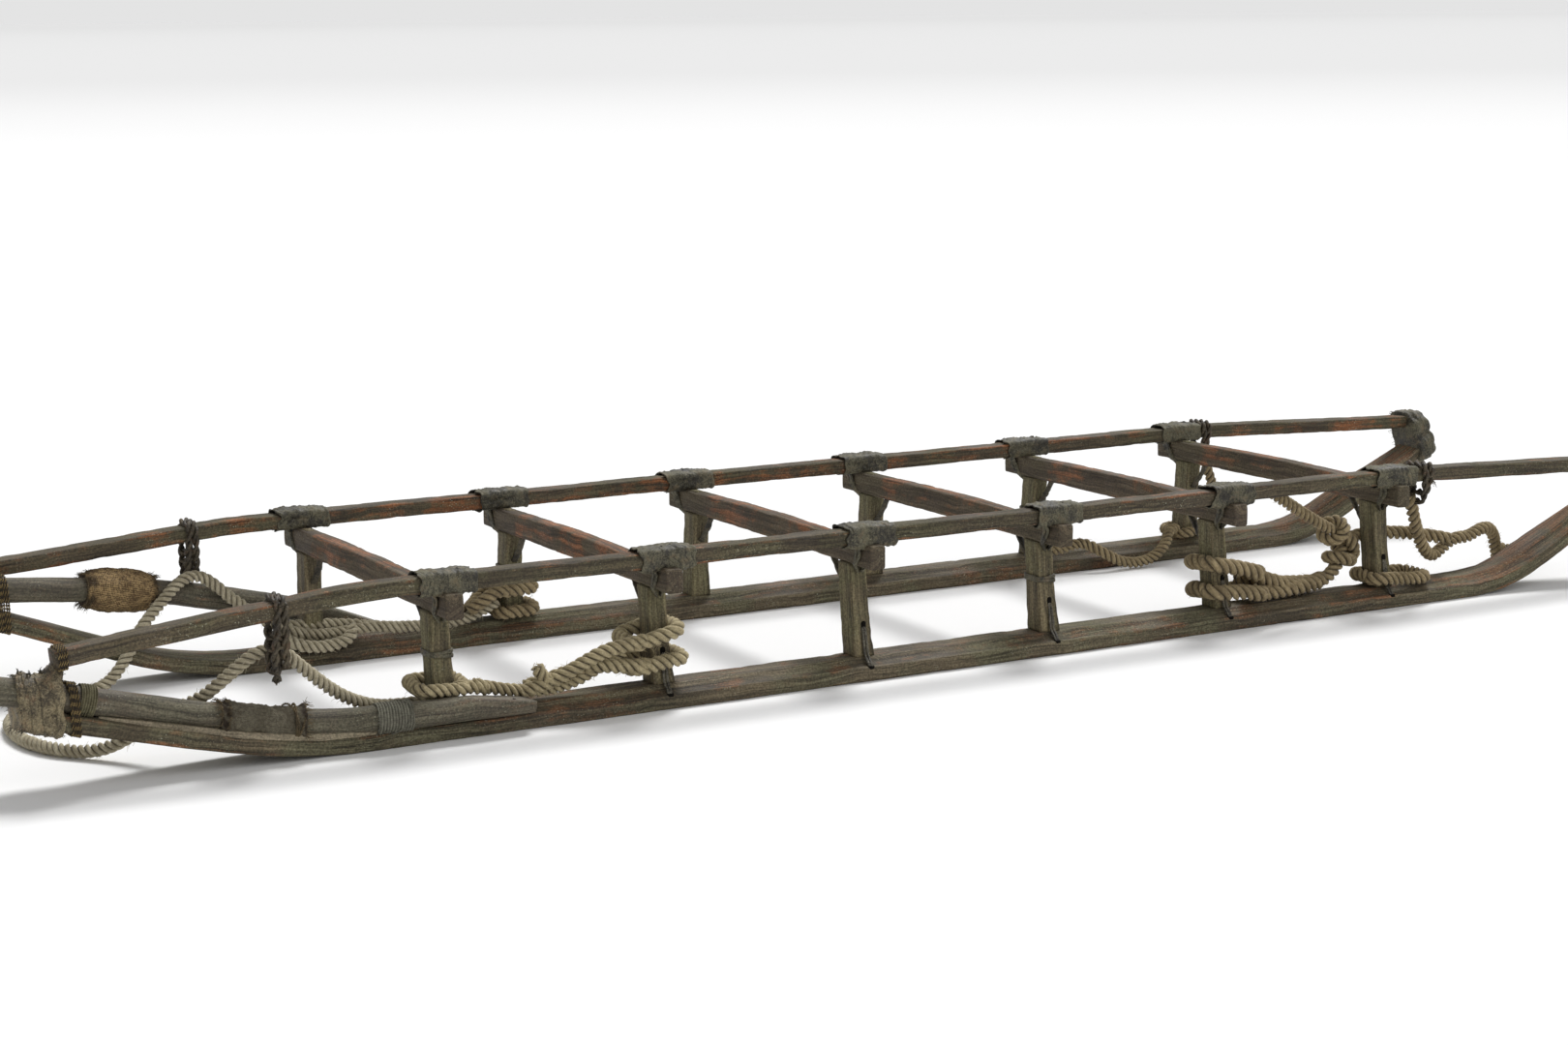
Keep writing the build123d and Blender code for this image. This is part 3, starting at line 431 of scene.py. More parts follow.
def finish(name, group, values, bump=0.6, sheen=0.0, specular=0.35):
    """Material whose colour, roughness and relief come from a group, with its own values."""
    material = bpy.data.materials.new(name)
    material.use_nodes = True
    net = Net(material.node_tree)
    shader = material.node_tree.nodes["Principled BSDF"]
    shader.inputs["Specular IOR Level"].default_value = specular
    if sheen:
        shader.inputs["Sheen Weight"].default_value = sheen
        shader.inputs["Sheen Roughness"].default_value = 0.5
    place = net.add("ShaderNodeTexCoord").outputs
    lengthwise = net.add("ShaderNodeUVMap", uv_map="UVMap").outputs[0]
    first = "Grain" if "Grain" in group.interface.items_tree.keys() else "Along"
    node = material.node_tree.nodes.new("ShaderNodeGroup")
    node.node_tree = group
    net.tree.links.new(lengthwise, node.inputs[first])
    net.tree.links.new(place["Object"], node.inputs["Place"])
    # the edge attribute: wear on wood, painted shade on hide and fibres
    if "Wear And Painted Shade" in node.inputs:
        net.tree.links.new(net.add("ShaderNodeAttribute", attribute_name="edge").outputs["Fac"],
                           node.inputs["Wear And Painted Shade"])
    for key, value in values.items():
        node.inputs[key].default_value = value if isinstance(value, (int, float)) else (*value, 1.0)
    relief = net.add("ShaderNodeBump", {"Height": node.outputs["Height"], "Strength": bump,
        "Distance": 0.001})
    net.tree.links.new(node.outputs["Color"], shader.inputs["Base Color"])
    net.tree.links.new(node.outputs["Roughness"], shader.inputs["Roughness"])
    net.tree.links.new(relief.outputs[0], shader.inputs["Normal"])
    return material


def plain(name, color, roughness, specular):
    """Material of one even colour."""
    material = bpy.data.materials.new(name)
    material.use_nodes = True
    shader = material.node_tree.nodes["Principled BSDF"]
    shader.inputs["Base Color"].default_value = (*color, 1)
    shader.inputs["Roughness"].default_value = roughness
    shader.inputs["Specular IOR Level"].default_value = specular
    return material


WOOD, HIDE, FIBRE = make_wood_group(), make_hide_group(), make_fibre_group()
MATERIALS = {"runner_wood": finish("runner_wood", WOOD, {"Dark": (0.030, 0.023, 0.014),
    "Pale": (0.205, 0.163, 0.098), "Patina": (0.190, 0.182, 0.108), "Worn": (0.255, 0.120,
    0.055), "Patina Amount": 0.8, "Worn Amount": 0.85, "Speck Amount": 0.8, "Check Amount": 0.9},
    bump=0.8), "frame_wood": finish("frame_wood", WOOD, {"Dark": (0.024, 0.018, 0.012),
    "Pale": (0.130, 0.101, 0.058), "Patina": (0.122, 0.114, 0.064), "Worn": (0.300, 0.115,
    0.042), "Patina Amount": 0.7, "Worn Amount": 0.9, "Speck Amount": 0.8, "Check Amount": 0.85},
    bump=0.7), "crossbar_wood": finish("crossbar_wood", WOOD, {"Dark": (0.030, 0.020, 0.013),
    "Pale": (0.150, 0.115, 0.072), "Patina": (0.135, 0.120, 0.072), "Worn": (0.330, 0.135,
    0.058), "Patina Amount": 0.5, "Worn Amount": 0.95, "Speck Amount": 0.5, "Check Amount": 0.8},
    bump=0.6), "upright_wood": finish("upright_wood", WOOD, {"Dark": (0.032, 0.025, 0.014),
    "Pale": (0.310, 0.250, 0.140), "Patina": (0.215, 0.200, 0.105), "Worn": (0.12, 0.075,
    0.045), "Patina Amount": 0.75, "Worn Amount": 0.35, "Speck Amount": 0.5, "Check Amount": 1.0},
    # the pale wood that follows paints a highlight: the strip that stands for the lit top of the left
    # runner's nose
    bump=0.55), "painted_highlight_wood": finish("painted_highlight_wood", WOOD, {"Dark": (0.13, 0.105, 0.07),
    "Pale": (0.46, 0.39, 0.27), "Patina": (0.30, 0.27, 0.18), "Worn": (0.30, 0.19, 0.10),
    "Patina Amount": 0.4, "Worn Amount": 0.3, "Speck Amount": 0.3, "Check Amount": 0.6},
    bump=0.5), "bow_wood": finish("bow_wood", WOOD, {"Dark": (0.034, 0.027, 0.018), "Pale": (0.185,
    0.152, 0.100), "Patina": (0.165, 0.158, 0.105), "Worn": (0.22, 0.115, 0.058),
    "Patina Amount": 0.7, "Worn Amount": 0.7, "Speck Amount": 0.6, "Check Amount": 0.5},
    bump=0.45, specular=0.55), "hide_lashing": finish("hide_lashing", HIDE,
    {"Dark": (0.018, 0.015, 0.010), "Pale": (0.150, 0.138, 0.088), "Stain": (0.15, 0.105,
    0.058), "Stain Amount": 0.5, "Speck Amount": 0.65}, bump=0.7, specular=0.4),
             "hide_dark": finish("hide_dark", HIDE, {"Dark": (0.016, 0.013, 0.009), "Pale": (0.100,
    0.088, 0.058), "Stain": (0.09, 0.05, 0.03), "Stain Amount": 0.4, "Speck Amount": 0.35},
    bump=1.0, specular=0.4), "hide_thong": finish("hide_thong", HIDE,
    {"Dark": (0.018, 0.015, 0.011), "Pale": (0.17, 0.155, 0.115), "Stain": (0.09, 0.06,
    0.04), "Stain Amount": 0.4, "Speck Amount": 0.5}, bump=0.9, specular=0.4),
             "hide_wrap": finish("hide_wrap", HIDE, {"Dark": (0.045, 0.034, 0.019), "Pale": (0.310,
    0.255, 0.150), "Stain": (0.17, 0.075, 0.035), "Stain Amount": 0.35, "Speck Amount": 0.6},
    bump=1.0, specular=0.4), "rope_pale": finish("rope_pale", FIBRE, {"Pale": (0.66, 0.60, 0.44),
    "Dark": (0.32, 0.27, 0.17), "Painted Groove Shade": (0.085, 0.068, 0.04), "Soil": (0.25, 0.205, 0.13),
    "Soil Amount": 0.5}, bump=0.9, sheen=0.1), "rope_tan": finish("rope_tan", FIBRE,
    {"Pale": (0.48, 0.38, 0.215), "Dark": (0.20, 0.148, 0.076), "Painted Groove Shade": (0.034, 0.024, 0.013),
     "Soil": (0.14, 0.105, 0.06), "Soil Amount": 0.55}, bump=0.9, sheen=0.08),
             "canvas": finish("canvas", FIBRE, {"Pale": (0.26, 0.23, 0.16), "Dark": (0.085, 0.074,
    0.05), "Painted Groove Shade": (0.03, 0.017, 0.009), "Soil": (0.06, 0.04, 0.022), "Soil Amount": 0.5,
    "Weave": 0.6, "Threads": 4200.0, "Grit": 1.1}, bump=1.0), "burlap": finish("burlap", FIBRE,
    {"Pale": (0.44, 0.30, 0.14), "Dark": (0.10, 0.065, 0.032), "Painted Groove Shade": (0.045, 0.028, 0.014),
     "Soil": (0.07, 0.042, 0.022), "Soil Amount": 0.75, "Weave": 0.8, "Threads": 1700.0,
     "Slant": 0.7, "Grit": 2.4}, bump=1.0), "rope_khaki": finish("rope_khaki", FIBRE,
    {"Pale": (0.62, 0.53, 0.32), "Dark": (0.30, 0.24, 0.135), "Painted Groove Shade": (0.045, 0.034, 0.018),
     "Soil": (0.18, 0.14, 0.08), "Soil Amount": 0.5}, bump=0.9, sheen=0.08),
             "hide_brown": finish("hide_brown", HIDE, {"Dark": (0.020, 0.015, 0.010),
    "Pale": (0.120, 0.098, 0.062), "Stain": (0.10, 0.04, 0.022), "Stain Amount": 0.45,
    "Speck Amount": 0.2}, bump=0.9, specular=0.4), "grey_twine": finish("grey_twine", FIBRE,
    {"Pale": (0.26, 0.25, 0.195), "Dark": (0.105, 0.100, 0.076), "Painted Groove Shade": (0.012, 0.010, 0.008),
     "Soil": (0.05, 0.045, 0.035), "Soil Amount": 0.3}, bump=0.9),
             "olive_twine": finish("olive_twine", FIBRE, {"Pale": (0.21, 0.19, 0.11),
    "Dark": (0.08, 0.072, 0.04), "Painted Groove Shade": (0.012, 0.010, 0.007), "Soil": (0.05, 0.042,
    0.025), "Soil Amount": 0.4}, bump=0.8), "cord_gold": finish("cord_gold", FIBRE,
    {"Pale": (0.30, 0.215, 0.09), "Dark": (0.13, 0.092, 0.04), "Painted Groove Shade": (0.02, 0.014, 0.008),
     "Soil": (0.07, 0.05, 0.028), "Soil Amount": 0.5}, bump=0.6), "cord_black": finish("cord_black",
    FIBRE, {"Pale": (0.050, 0.038, 0.028), "Dark": (0.014, 0.011, 0.008), "Soil": (0.02, 0.015,
    0.012), "Soil Amount": 0.3}, bump=0.5), "cord_whipping": finish("cord_whipping", FIBRE,
    {"Pale": (0.22, 0.165, 0.085), "Dark": (0.06, 0.044, 0.026), "Soil": (0.03, 0.025,
    0.02), "Soil Amount": 0.5}, bump=0.7),}
# near-black plugs of painted shade in the thong slots and holes
HOLE_SHADE = plain("shadowed_hole", (0.006, 0.005, 0.004), 0.95, 0.1)
NAIL = plain("old_iron", (0.055, 0.042, 0.034), 0.6, 0.5)


def show(piece, material, *nodes):
    """Give a piece its material, put it on the sled's body and let it stand for CAD nodes."""
    piece.data.materials.append(MATERIALS[material] if isinstance(material, str) else material)
    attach(piece, "root")
    if nodes:
        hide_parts(*nodes)
    return piece


# ---- camera and stage ---------------------------------------------------------------------------
CAMERA_AT = Vector((2.33512, 4.13349, 1.05414))
CAMERA_LOOKS_AT = Vector((0.0439, 0.0, 0.2058))
CAMERA_ROLL, CAMERA_LENS = math.radians(-0.5567), 65.15
SENSOR_WIDTH, SIGHT_END = 36.0, 1000.0


def set_camera():
    """Camera that looks from its place to its target, turned about its own line of sight by the roll."""
    back = (CAMERA_AT - CAMERA_LOOKS_AT).normalized()
    right = Vector((0, 0, 1)).cross(back).normalized()
    up = back.cross(right)
    turned = math.cos(CAMERA_ROLL) * right + math.sin(CAMERA_ROLL) * up
    raised = math.cos(CAMERA_ROLL) * up - math.sin(CAMERA_ROLL) * right
    data = bpy.data.cameras.new("camera")
    data.lens, data.sensor_width, data.clip_end = CAMERA_LENS, SENSOR_WIDTH, SIGHT_END
    camera = bpy.data.objects.new("camera", data)
    camera.matrix_world = Matrix([(turned[k], raised[k], back[k], CAMERA_AT[k]) for k in range(3)]
        + [(0, 0, 0, 1)])
    bpy.context.scene.collection.objects.link(camera)
    bpy.context.scene.camera = camera


# direction towards each sun, its strength and the width of its disc in degrees
SUNS = {"key": ((-0.55, -0.42, 1.0), 2.5, 20), "fill": ((-0.25, 1.0, 0.75), 0.62, 60)}
AMBIENT, FAR_GREY, FLOOR_REACH = 0.34, 0.775, 900.0
# the floor's tone at the sled, then each span over which it changes, and to what
FLOOR_GREY, FLOOR_FADES = 0.96, ((6.0, 50.0, 0.755), (50.0, 400.0, 0.70))


def grey(tone):
    return tone, tone, tone, 1


def make_stage():
    """Pale floor that keeps the sled's shadow and greys towards the horizon, two wide soft suns and a world
    that lights evenly from all round, white where the camera, mirrors and glass see it."""
    scene = bpy.context.scene
    scene.view_settings.view_transform = "Standard"
    corners = FLOOR_REACH * np.array([(-1, -1, 0), (1, -1, 0), (1, 1, 0), (-1, 1, 0)], float)
    floor = new_mesh_piece("floor", corners, [(0, 1, 2, 3)])
    material = plain("floor", grey(FLOOR_GREY)[:3], 0.9, 0.0)
    net = Net(material.node_tree)
    away = net.add("ShaderNodeVectorMath", {0: net.add("ShaderNodeTexCoord").outputs["Object"]},
                   operation="LENGTH").outputs["Value"]
    tone = grey(FLOOR_GREY)
    for near, far, faded in FLOOR_FADES:
        tone = net.mix(net.span(away, near, far), tone, grey(faded))
    net.tree.links.new(tone, material.node_tree.nodes["Principled BSDF"].inputs["Base Color"])
    floor.data.materials.append(material)
    world = bpy.data.worlds.new("world")
    scene.world = world
    world.use_nodes = True
    net = Net(world.node_tree)
    path = net.add("ShaderNodeLightPath").outputs
    mirrored = net.math("MAXIMUM", path["Is Glossy Ray"], path["Is Transmission Ray"])
    seen = net.math("MAXIMUM", path["Is Camera Ray"], mirrored)
    background = world.node_tree.nodes["Background"]
    net.tree.links.new(net.mix(seen, grey(AMBIENT), grey(FAR_GREY)), background.inputs["Color"])
    for name, (towards, strength, width) in SUNS.items():
        lamp = bpy.data.lights.new(name, "SUN")
        lamp.energy, lamp.angle = strength, math.radians(width)
        sun = bpy.data.objects.new(name, lamp)
        sun.rotation_euler = Vector(towards).to_track_quat("Z", "Y").to_euler()
        scene.collection.objects.link(sun)


set_camera()
make_stage()

# ---- ropes --------------------------------------------------------------------------------------
# routes of the ropes' centre lines, as in the part
ROPES = {"bridle_rope": ("rope_pale", [(.752, .250, .044), (.815, .250, .044), (.878, .256, .046),
    (.938, .268, .072), (.993, .281, .118), (1.035, .2885, .160), (1.073, .2885, .160),
    (1.115, .280, .125), (1.152, .262, .092), (1.192, .224, .072), (1.232, .200, .036),
    (1.278, .168, .0107), (1.325, .118, .0107), (1.350, .050, .0107), (1.352, -.030, .0107),
    (1.335, -.105, .0107), (1.280, -.165, .0107), (1.215, -.200, .0107), (1.155, -.210, .016),
    (1.118, -.223, .052), (1.088, -.242, .096), (1.048, -.262, .128), (1.003, -.281, .164),
    (.966, -.291, .163), (.928, -.278, .126), (.880, -.262, .084), (.822, -.252, .054),
    (.762, -.252, .048), (.700, -.253, .054), (.618, -.252, .044), (.535, -.252, .044),
    (.493, -.254, .058), (.464, -.257, .069)]), "rope_left_1_2": ("rope_khaki", [(.7442, .300, .073),
    (.715, .300, .064), (.660, .300, .051), (.600, .300, .051), (.550, .298, .066),
    (.493, .296, .091)]), "rope_left_5_6": ("rope_tan", [(-.7462, .283, .057), (-.800, .283, .048),
    (-.870, .283, .048), (-.918, .280, .068), (-.948, .266, .103), (-.985, .243, .121),
    (-1.060, .242, .120), (-1.135, .254, .112), (-1.195, .268, .098)]), "rope_left_rail": ("rope_tan",
    [(-.768, .282, .226), (-.795, .279, .211), (-.850, .273, .178), (-.905, .268, .148),
     (-.932, .266, .136)]), "rope_left_rear": ("rope_tan", [(-1.068, .300, .195), (-1.080, .298, .165),
    (-1.098, .290, .125), (-1.125, .278, .088), (-1.158, .264, .068), (-1.190, .253, .078),
    (-1.222, .249, .094), (-1.262, .246, .092), (-1.305, .238, .106), (-1.345, .222, .092),
    (-1.368, .206, .048), (-1.398, .186, .014), (-1.440, .160, .0107),
    (-1.478, .138, .0107)]), "rope_right_5_6": ("rope_tan", [(-.9744, -.262, .057),
    (-.950, -.252, .060), (-.918, -.216, .036), (-.872, -.208, .012), (-.815, -.210, .012),
    (-.772, -.216, .036), (-.744, -.249, .056), (-.700, -.2515, .045), (-.668, -.2515,
    .044)]), "rope_right_rear": ("rope_tan", [(-1.057, -.298, .195), (-1.074, -.294, .165),
    (-1.084, -.289, .130), (-1.078, -.286, .095), (-1.0744, -.284, .062)]),}
# drawn radii: the bridle is thinner than the doubled and whipped ropes
ROPE_RADII = {"bridle_rope": 0.0102, "rope_left_1_2": 0.0108, "rope_left_5_6": 0.0125,
              "rope_left_rail": 0.0112, "rope_left_rear": 0.0118,
              "rope_right_5_6": 0.0108, "rope_right_rear": 0.0105}
LAY_PER_RADIUS = 3.3
STRANDS = 3
FUZZ_LENGTH = 0.008
# heights above the floor that strands and stray fibres keep
STRAND_CLEARANCE, FIBRE_CLEARANCE = 0.0003, 0.0009


def groove_shade(grids):
    """How deep each column of a strand lies between its neighbours, 0 on the crown to 1 inside, painted as
    shade in the grooves between the strands. Fibres, which have four columns, have none."""
    masks = []
    for grid in grids:
        around = grid.shape[1]
        a = np.linspace(0, TAU, around, endpoint=False)[None]
        masks.append(np.clip((0.42 - np.cos(a)) / 0.75, 0, 1) if around > 4 else np.zeros((1, 4)))
    return masks


def rope_piece(name, grids):
    return tube_piece(name, grids, groove_shade(grids))


def strand_grids(line, radius, pitch=None, strands=STRANDS, around=9, step=0.0032, phase=0.0, closed=False):
    """Grids of the strands of a laid rope: each strand's centre turns about the line once in a pitch, at a
    distance that leaves the strands touching, and its section is a flattened circle.

    centre = line + lay * (cos t * side + sin t * rise), t = TAU * distance / pitch + share of the strand."""
    pitch = pitch or LAY_PER_RADIUS * radius
    line = resample(line, max(8, int(along(line)[-1] / step)))
    tangent, side, rise = turned_frames(line)
    s = along(line)
    if closed:
        twist = round(s[-1] / pitch) * TAU / s[-1]
        # the frame's own turn round the ring is undone evenly, so that the strands meet themselves
        slip = math.atan2(float(np.dot(np.cross(side[0], side[-1]), tangent[0])),
                          float(np.dot(side[0], side[-1])))
        t = s * (twist - slip / s[-1])
    else:
        t = s * TAU / pitch
    strand = 0.50 * radius
    lay = radius - strand
    grids = []
    for k in range(strands):
        turn = (t + phase + TAU * k / strands)[:, None]
        outward = np.cos(turn) * side + np.sin(turn) * rise
        sideways = -np.sin(turn) * side + np.cos(turn) * rise
        wander = 1 + 0.05 * ripple(s[:, None], 0, 11 + k, 0.08)
        centre = line + lay * wander * outward
        a = np.linspace(0, TAU, around, endpoint=False)
        swell = (1 + 0.05 * ripple(s[:, None], a[None] * 0.01, 31 + k, 0.03))[..., None]
        grids.append(centre[:, None] + swell * strand * (np.cos(a)[None, :, None] * outward[:,
            None] * 1.02 + 1.12 * np.sin(a)[None, :, None] * sideways[:, None]))
    return grids


def fibre_grids(roots, ways, lengths, width, droop, seed, rows=5):
    """Grids of thin bent fibres: each runs from its root along its way, bends aside by a seeded amount and
    sags with the square of its length."""
    rng = np.random.default_rng(seed)
    grids = []
    for root, way, length in zip(roots, ways, lengths):
        t = np.linspace(0, 1, rows)[:, None]
        aside = unit(np.cross(way, rng.normal(size=3)))
        path = root + way * t * length + aside * (t**2) * length * rng.uniform(-0.45, 0.45)
        path[:, 2] -= (t[:, 0] ** 2) * length * droop
        path[:, 2] = np.maximum(path[:, 2], FIBRE_CLEARANCE)
        grids.append(round_tube(path, width * (1 - 0.6 * t[:, 0]), 4))
    return grids


def tuft(at, way, count, length, spread=0.5, seed=1, width=0.0008, droop=0.3, radius=0.007):
    """Grids of a frayed end: fibres that start over a small disc and fan out about one way."""
    rng = np.random.default_rng(seed)
    way = unit(np.asarray(way, float))
    roots = np.asarray(at) + rng.normal(size=(count, 3)) * radius * 0.5
    ways = unit(way + rng.normal(size=(count, 3)) * spread)
    return fibre_grids(roots, ways, length * rng.uniform(0.4, 1.1, count), width, droop, seed)


def fuzz(line, seed, radius, per_metre=260):
    """Grids of short stray fibres that stand off a rope."""
    rng = np.random.default_rng(seed)
    count = int(along(line)[-1] * per_metre)
    points = 400
    line = resample(line, points)
    pick = rng.integers(2, points - 2, count)
    tangent, side, rise = turned_frames(line)
    a = rng.uniform(0, TAU, count)[:, None]
    out = np.cos(a) * side[pick] + np.sin(a) * rise[pick]
    roots = line[pick] + out * radius * 0.9
    ways = unit(out * 0.8 + tangent[pick] * rng.choice([-1, 1], count)[:, None] * rng.uniform(0.5,
        1.6, count)[:, None])
    return fibre_grids(roots, ways, FUZZ_LENGTH * rng.uniform(0.4, 1.2, count), 0.00035, 0.15, seed, 4)


ROPE_LINES = {}


def make_ropes():
    """Laid ropes along their routes, each with stray fibres and a few longer ones at its ends."""
    for k, (name, (slot, route)) in enumerate(ROPES.items()):
        line = nurbs_line(route)
        ROPE_LINES[name] = line
        radius = ROPE_RADII[name]
        grids = strand_grids(line, radius, phase=0.7 * k)
        for grid in grids:
            grid[..., 2] = np.maximum(grid[..., 2], STRAND_CLEARANCE)
        ends = []
        for at, way in ((line[0], line[0] - line[3]), (line[-1], line[-1] - line[-4])):
            ends += tuft(at, way, 3, 0.006, 0.8, seed=k)
        rope = show(rope_piece(f"{name}_laid", grids), slot, name)
        stray = show(tube_piece(f"{name}_fibres", fuzz(line, 60 + k, radius) + ends), slot)


make_ropes()

# ---- wood ---------------------------------------------------------------------------------------


def weathered(grid, edge, seed, wave=0.0006, chip=0.0022):
    """Grid with its surface slightly uneven and its edges worn: each point moves towards its row's centre
    by wave * ripple + chip * edge * the high parts of a second ripple."""
    centre = grid.mean(axis=1, keepdims=True)
    run = along(grid.mean(axis=1))[:, None]
    girth = np.linspace(0, 0.3, grid.shape[1])[None]
    inward = wave * ripple(run, girth, seed, 0.35) + 0.35 * wave * ripple(run, girth, seed + 1, 0.05)
    nick = np.clip(ripple(run, girth * 0.4, seed + 2, 0.09) - 0.35, 0, None)
    inward = inward + chip * edge * (0.25 + nick)
    return grid - unit(grid - centre) * inward[..., None]


def rubbed_top(edge, top, amount=0.40):
    """Edge values eased to less than half of themselves, with an upward face held at least at an amount."""
    return np.where(top, np.maximum(0.45 * edge, amount), 0.45 * edge)


ARC_POINTS = 26


def arc_points(start, heading, radius, angle):
    """Points of an arc in the XZ plane that turns from its heading by an angle, upwards where positive."""
    t = np.linspace(0, angle, ARC_POINTS)
    sign = np.sign(angle)
    x = start[0] + sign * radius * (np.sin(heading + t) - math.sin(heading))
    z = start[1] - sign * radius * (np.cos(heading + t) - math.cos(heading))
    return np.stack([x, z], axis=1)


def sole_line(side):
    """The runner's sole from heel tip to nose tip: straight, arc, level, arc, straight."""
    flat_rear, flat_front = BAYS[-1] - HEEL_START, BAYS[0] + NOSE_START[side]
    heel_bend = np.array([flat_rear - HEEL_RADIUS * math.sin(HEEL_ANGLE),
                          HEEL_RADIUS * (1 - math.cos(HEEL_ANGLE))])
    heel_tip = heel_bend + HEEL_STRAIGHT * np.array([-math.cos(HEEL_ANGLE), math.sin(HEEL_ANGLE)])
    heel = arc_points(heel_bend, -HEEL_ANGLE, HEEL_RADIUS, HEEL_ANGLE)
    nose = arc_points((flat_front, 0), 0, NOSE_RADIUS[side], NOSE_ANGLE[side])
    tip = nose[-1] + NOSE_STRAIGHT[side] * np.array([math.cos(NOSE_ANGLE[side]), math.sin(NOSE_ANGLE[side])])
    xz = np.concatenate([[heel_tip], heel, nose, [tip]])
    return np.stack([xz[:, 0], np.full(len(xz), SIDES[side] * RUNNER_Y), xz[:, 1]], axis=1)


def sole_z(side, x):
    line = sole_line(side)
    return np.interp(x, line[:, 0], line[:, 2])


def tip_half(side, x):
    line = sole_line(side)
    inset = np.minimum(line[-1, 0] - x, x - line[0, 0]) / TIP_TAPER
    return TIP_WIDTH / 2 + (RUNNER_WIDTH - TIP_WIDTH) / 2 * np.clip(inset, 0, 1)


def make_runner(side):
    """Runner: its section is a board with bevelled edges and a hollow-flanked rib. The rib's rise runs out
    to nothing ahead of the first upright and near the heel, and the board narrows at both tips."""
    rows = 300
    path = resample(sole_line(side), rows)
    half, bevel = RUNNER_WIDTH / 2, 0.003
    t = np.linspace(0, 1, 9)[:, None]
    flank = np.array([RIB_ROOT_HALF, BOARD]) * (1 - t) + np.array([RIB_HALF, FOOT_Z]) * t
    flank = flank - np.array([0.5, 0.87]) * FLANK_SAG * np.sin(math.pi * t)
    under = np.stack([np.linspace(0, half - bevel, 7), np.zeros(7)], axis=1)
    edge_side = np.array([(half - bevel / 3, bevel / 3), (half, bevel), (half, BOARD * 0.35),
                          (half, BOARD * 0.65), (half, BOARD - bevel), (half - bevel / 3,
        BOARD - bevel / 3), (half - bevel, BOARD)])
    rib = np.stack([np.linspace(RIB_HALF, 0, 6)[1:], np.full(5, FOOT_Z)], axis=1)
    right = np.concatenate([under, edge_side, flank, rib])
    near = np.concatenate([np.zeros(6), [0.5], [0.9, 1, 0.3, 0.3, 1, 1, 0.9], [0.4, 0, 0, 0, 0, 0,
        0.2, 0.7, 1], [0.3, 0, 0, 0, 0]])
    loop = np.concatenate([right, (right * (-1, 1))[::-1][1:-1]])
    edge = np.concatenate([near, near[::-1][1:-1]])
    section = np.broadcast_to(loop, (rows,) + loop.shape).copy()
    section[..., 0] *= (tip_half(side, path[:, 0]) / half)[:, None]
    rib_end = BAYS[0] + RIB_FRONT
    rib_start = path[0, 0] + RIB_HEEL_MARGIN
    rise = np.clip((rib_end - path[:, 0]) / RIB_RUN_OUT, 0,
                   1) * np.clip((path[:, 0] - rib_start) / 0.03, 0, 1)
    rise = rise * rise * (3 - 2 * rise)
    above = section[..., 1] > BOARD
    camber = 0.0012 * (1 - (section[..., 0] / half) ** 2)
    lowered = BOARD + (section[..., 1] - BOARD) * rise[:, None] + camber * (1 - rise[:, None])
    section[..., 1] = np.where(above, lowered, section[..., 1])
    grid = weathered(carry(path, section), np.broadcast_to(edge, section.shape[:2]),
                     100 + SIDES[side], 0.0005, 0.0016)
    grid[..., 2] = np.maximum(grid[..., 2], 0.0)
    worn_from, worn_reach = -1.10, 0.2
    raised = np.clip((worn_from - grid[..., 0]) / worn_reach, 0, 1)
    edge = rubbed_top(np.broadcast_to(edge, section.shape[:2]), section[..., 1] > 0.95 * BOARD,
                      0.40 + 0.25 * raised)
    edge = np.where(np.abs(grid[..., 1]) < RUNNER_Y - 0.85 * half, np.maximum(edge, 0.42), edge)
    show(tube_piece(f"runner_{side}_wood", [grid], [edge]), "runner_wood", f"runner_{side}")


def rail_line(side):
    """Centre line of a side rail from its rear tip to its front tip."""
    parts = []
    for end, sign, joint in (("rear", -1, BAYS[-1]), ("front", 1, BAYS[0])):
        level, angle, straight = RAIL_ENDS[side, end]
        arc = arc_points((0, 0), 0, RAIL_BEND, -angle)
        tip = arc[-1] + straight * np.array([math.cos(angle), -math.sin(angle)])
        xz = np.concatenate([arc, [tip]])
        xz = np.stack([joint + sign * (level + xz[:, 0]), RAIL_Z + xz[:, 1]], axis=1)
        parts.append(xz[::-1] if sign < 0 else xz)
    xz = np.concatenate(parts)
    return np.stack([xz[:, 0], np.full(len(xz), SIDES[side] * RAIL_Y), xz[:, 1]], axis=1)


def rail_z(side, x):
    line = rail_line(side)
    return np.interp(x, line[:, 0], line[:, 2])


def make_rail(side):
    """Side rail, slightly bowed between the crossbars, in one bar that covers its scarfs."""
    path = resample(rail_line(side), 250)
    path[:, 2] += 0.0006 * ripple(path[:, 0], 0, 7 + SIDES[side], 1.2)
    section, edge = rounded_box(RAIL_WIDTH, RAIL_HEIGHT, 0.0035)
    grid = carry(path, section)
    edge = np.broadcast_to(edge, grid.shape[:2])
    grid = weathered(grid, edge, 120 + SIDES[side])
    edge = rubbed_top(edge, section[..., 1] > 0.45 * RAIL_HEIGHT)
    inner = np.abs(grid[..., 1]) < np.abs(path[:, 1:2]) - 0.3 * RAIL_WIDTH
    edge = np.where(inner, np.maximum(edge, 0.55), edge)
    show(tube_piece(f"rail_{side}_wood", [grid], [edge]), "frame_wood",
         f"side_rail_{side}", f"rail_front_{side}", f"rail_rear_{side}")


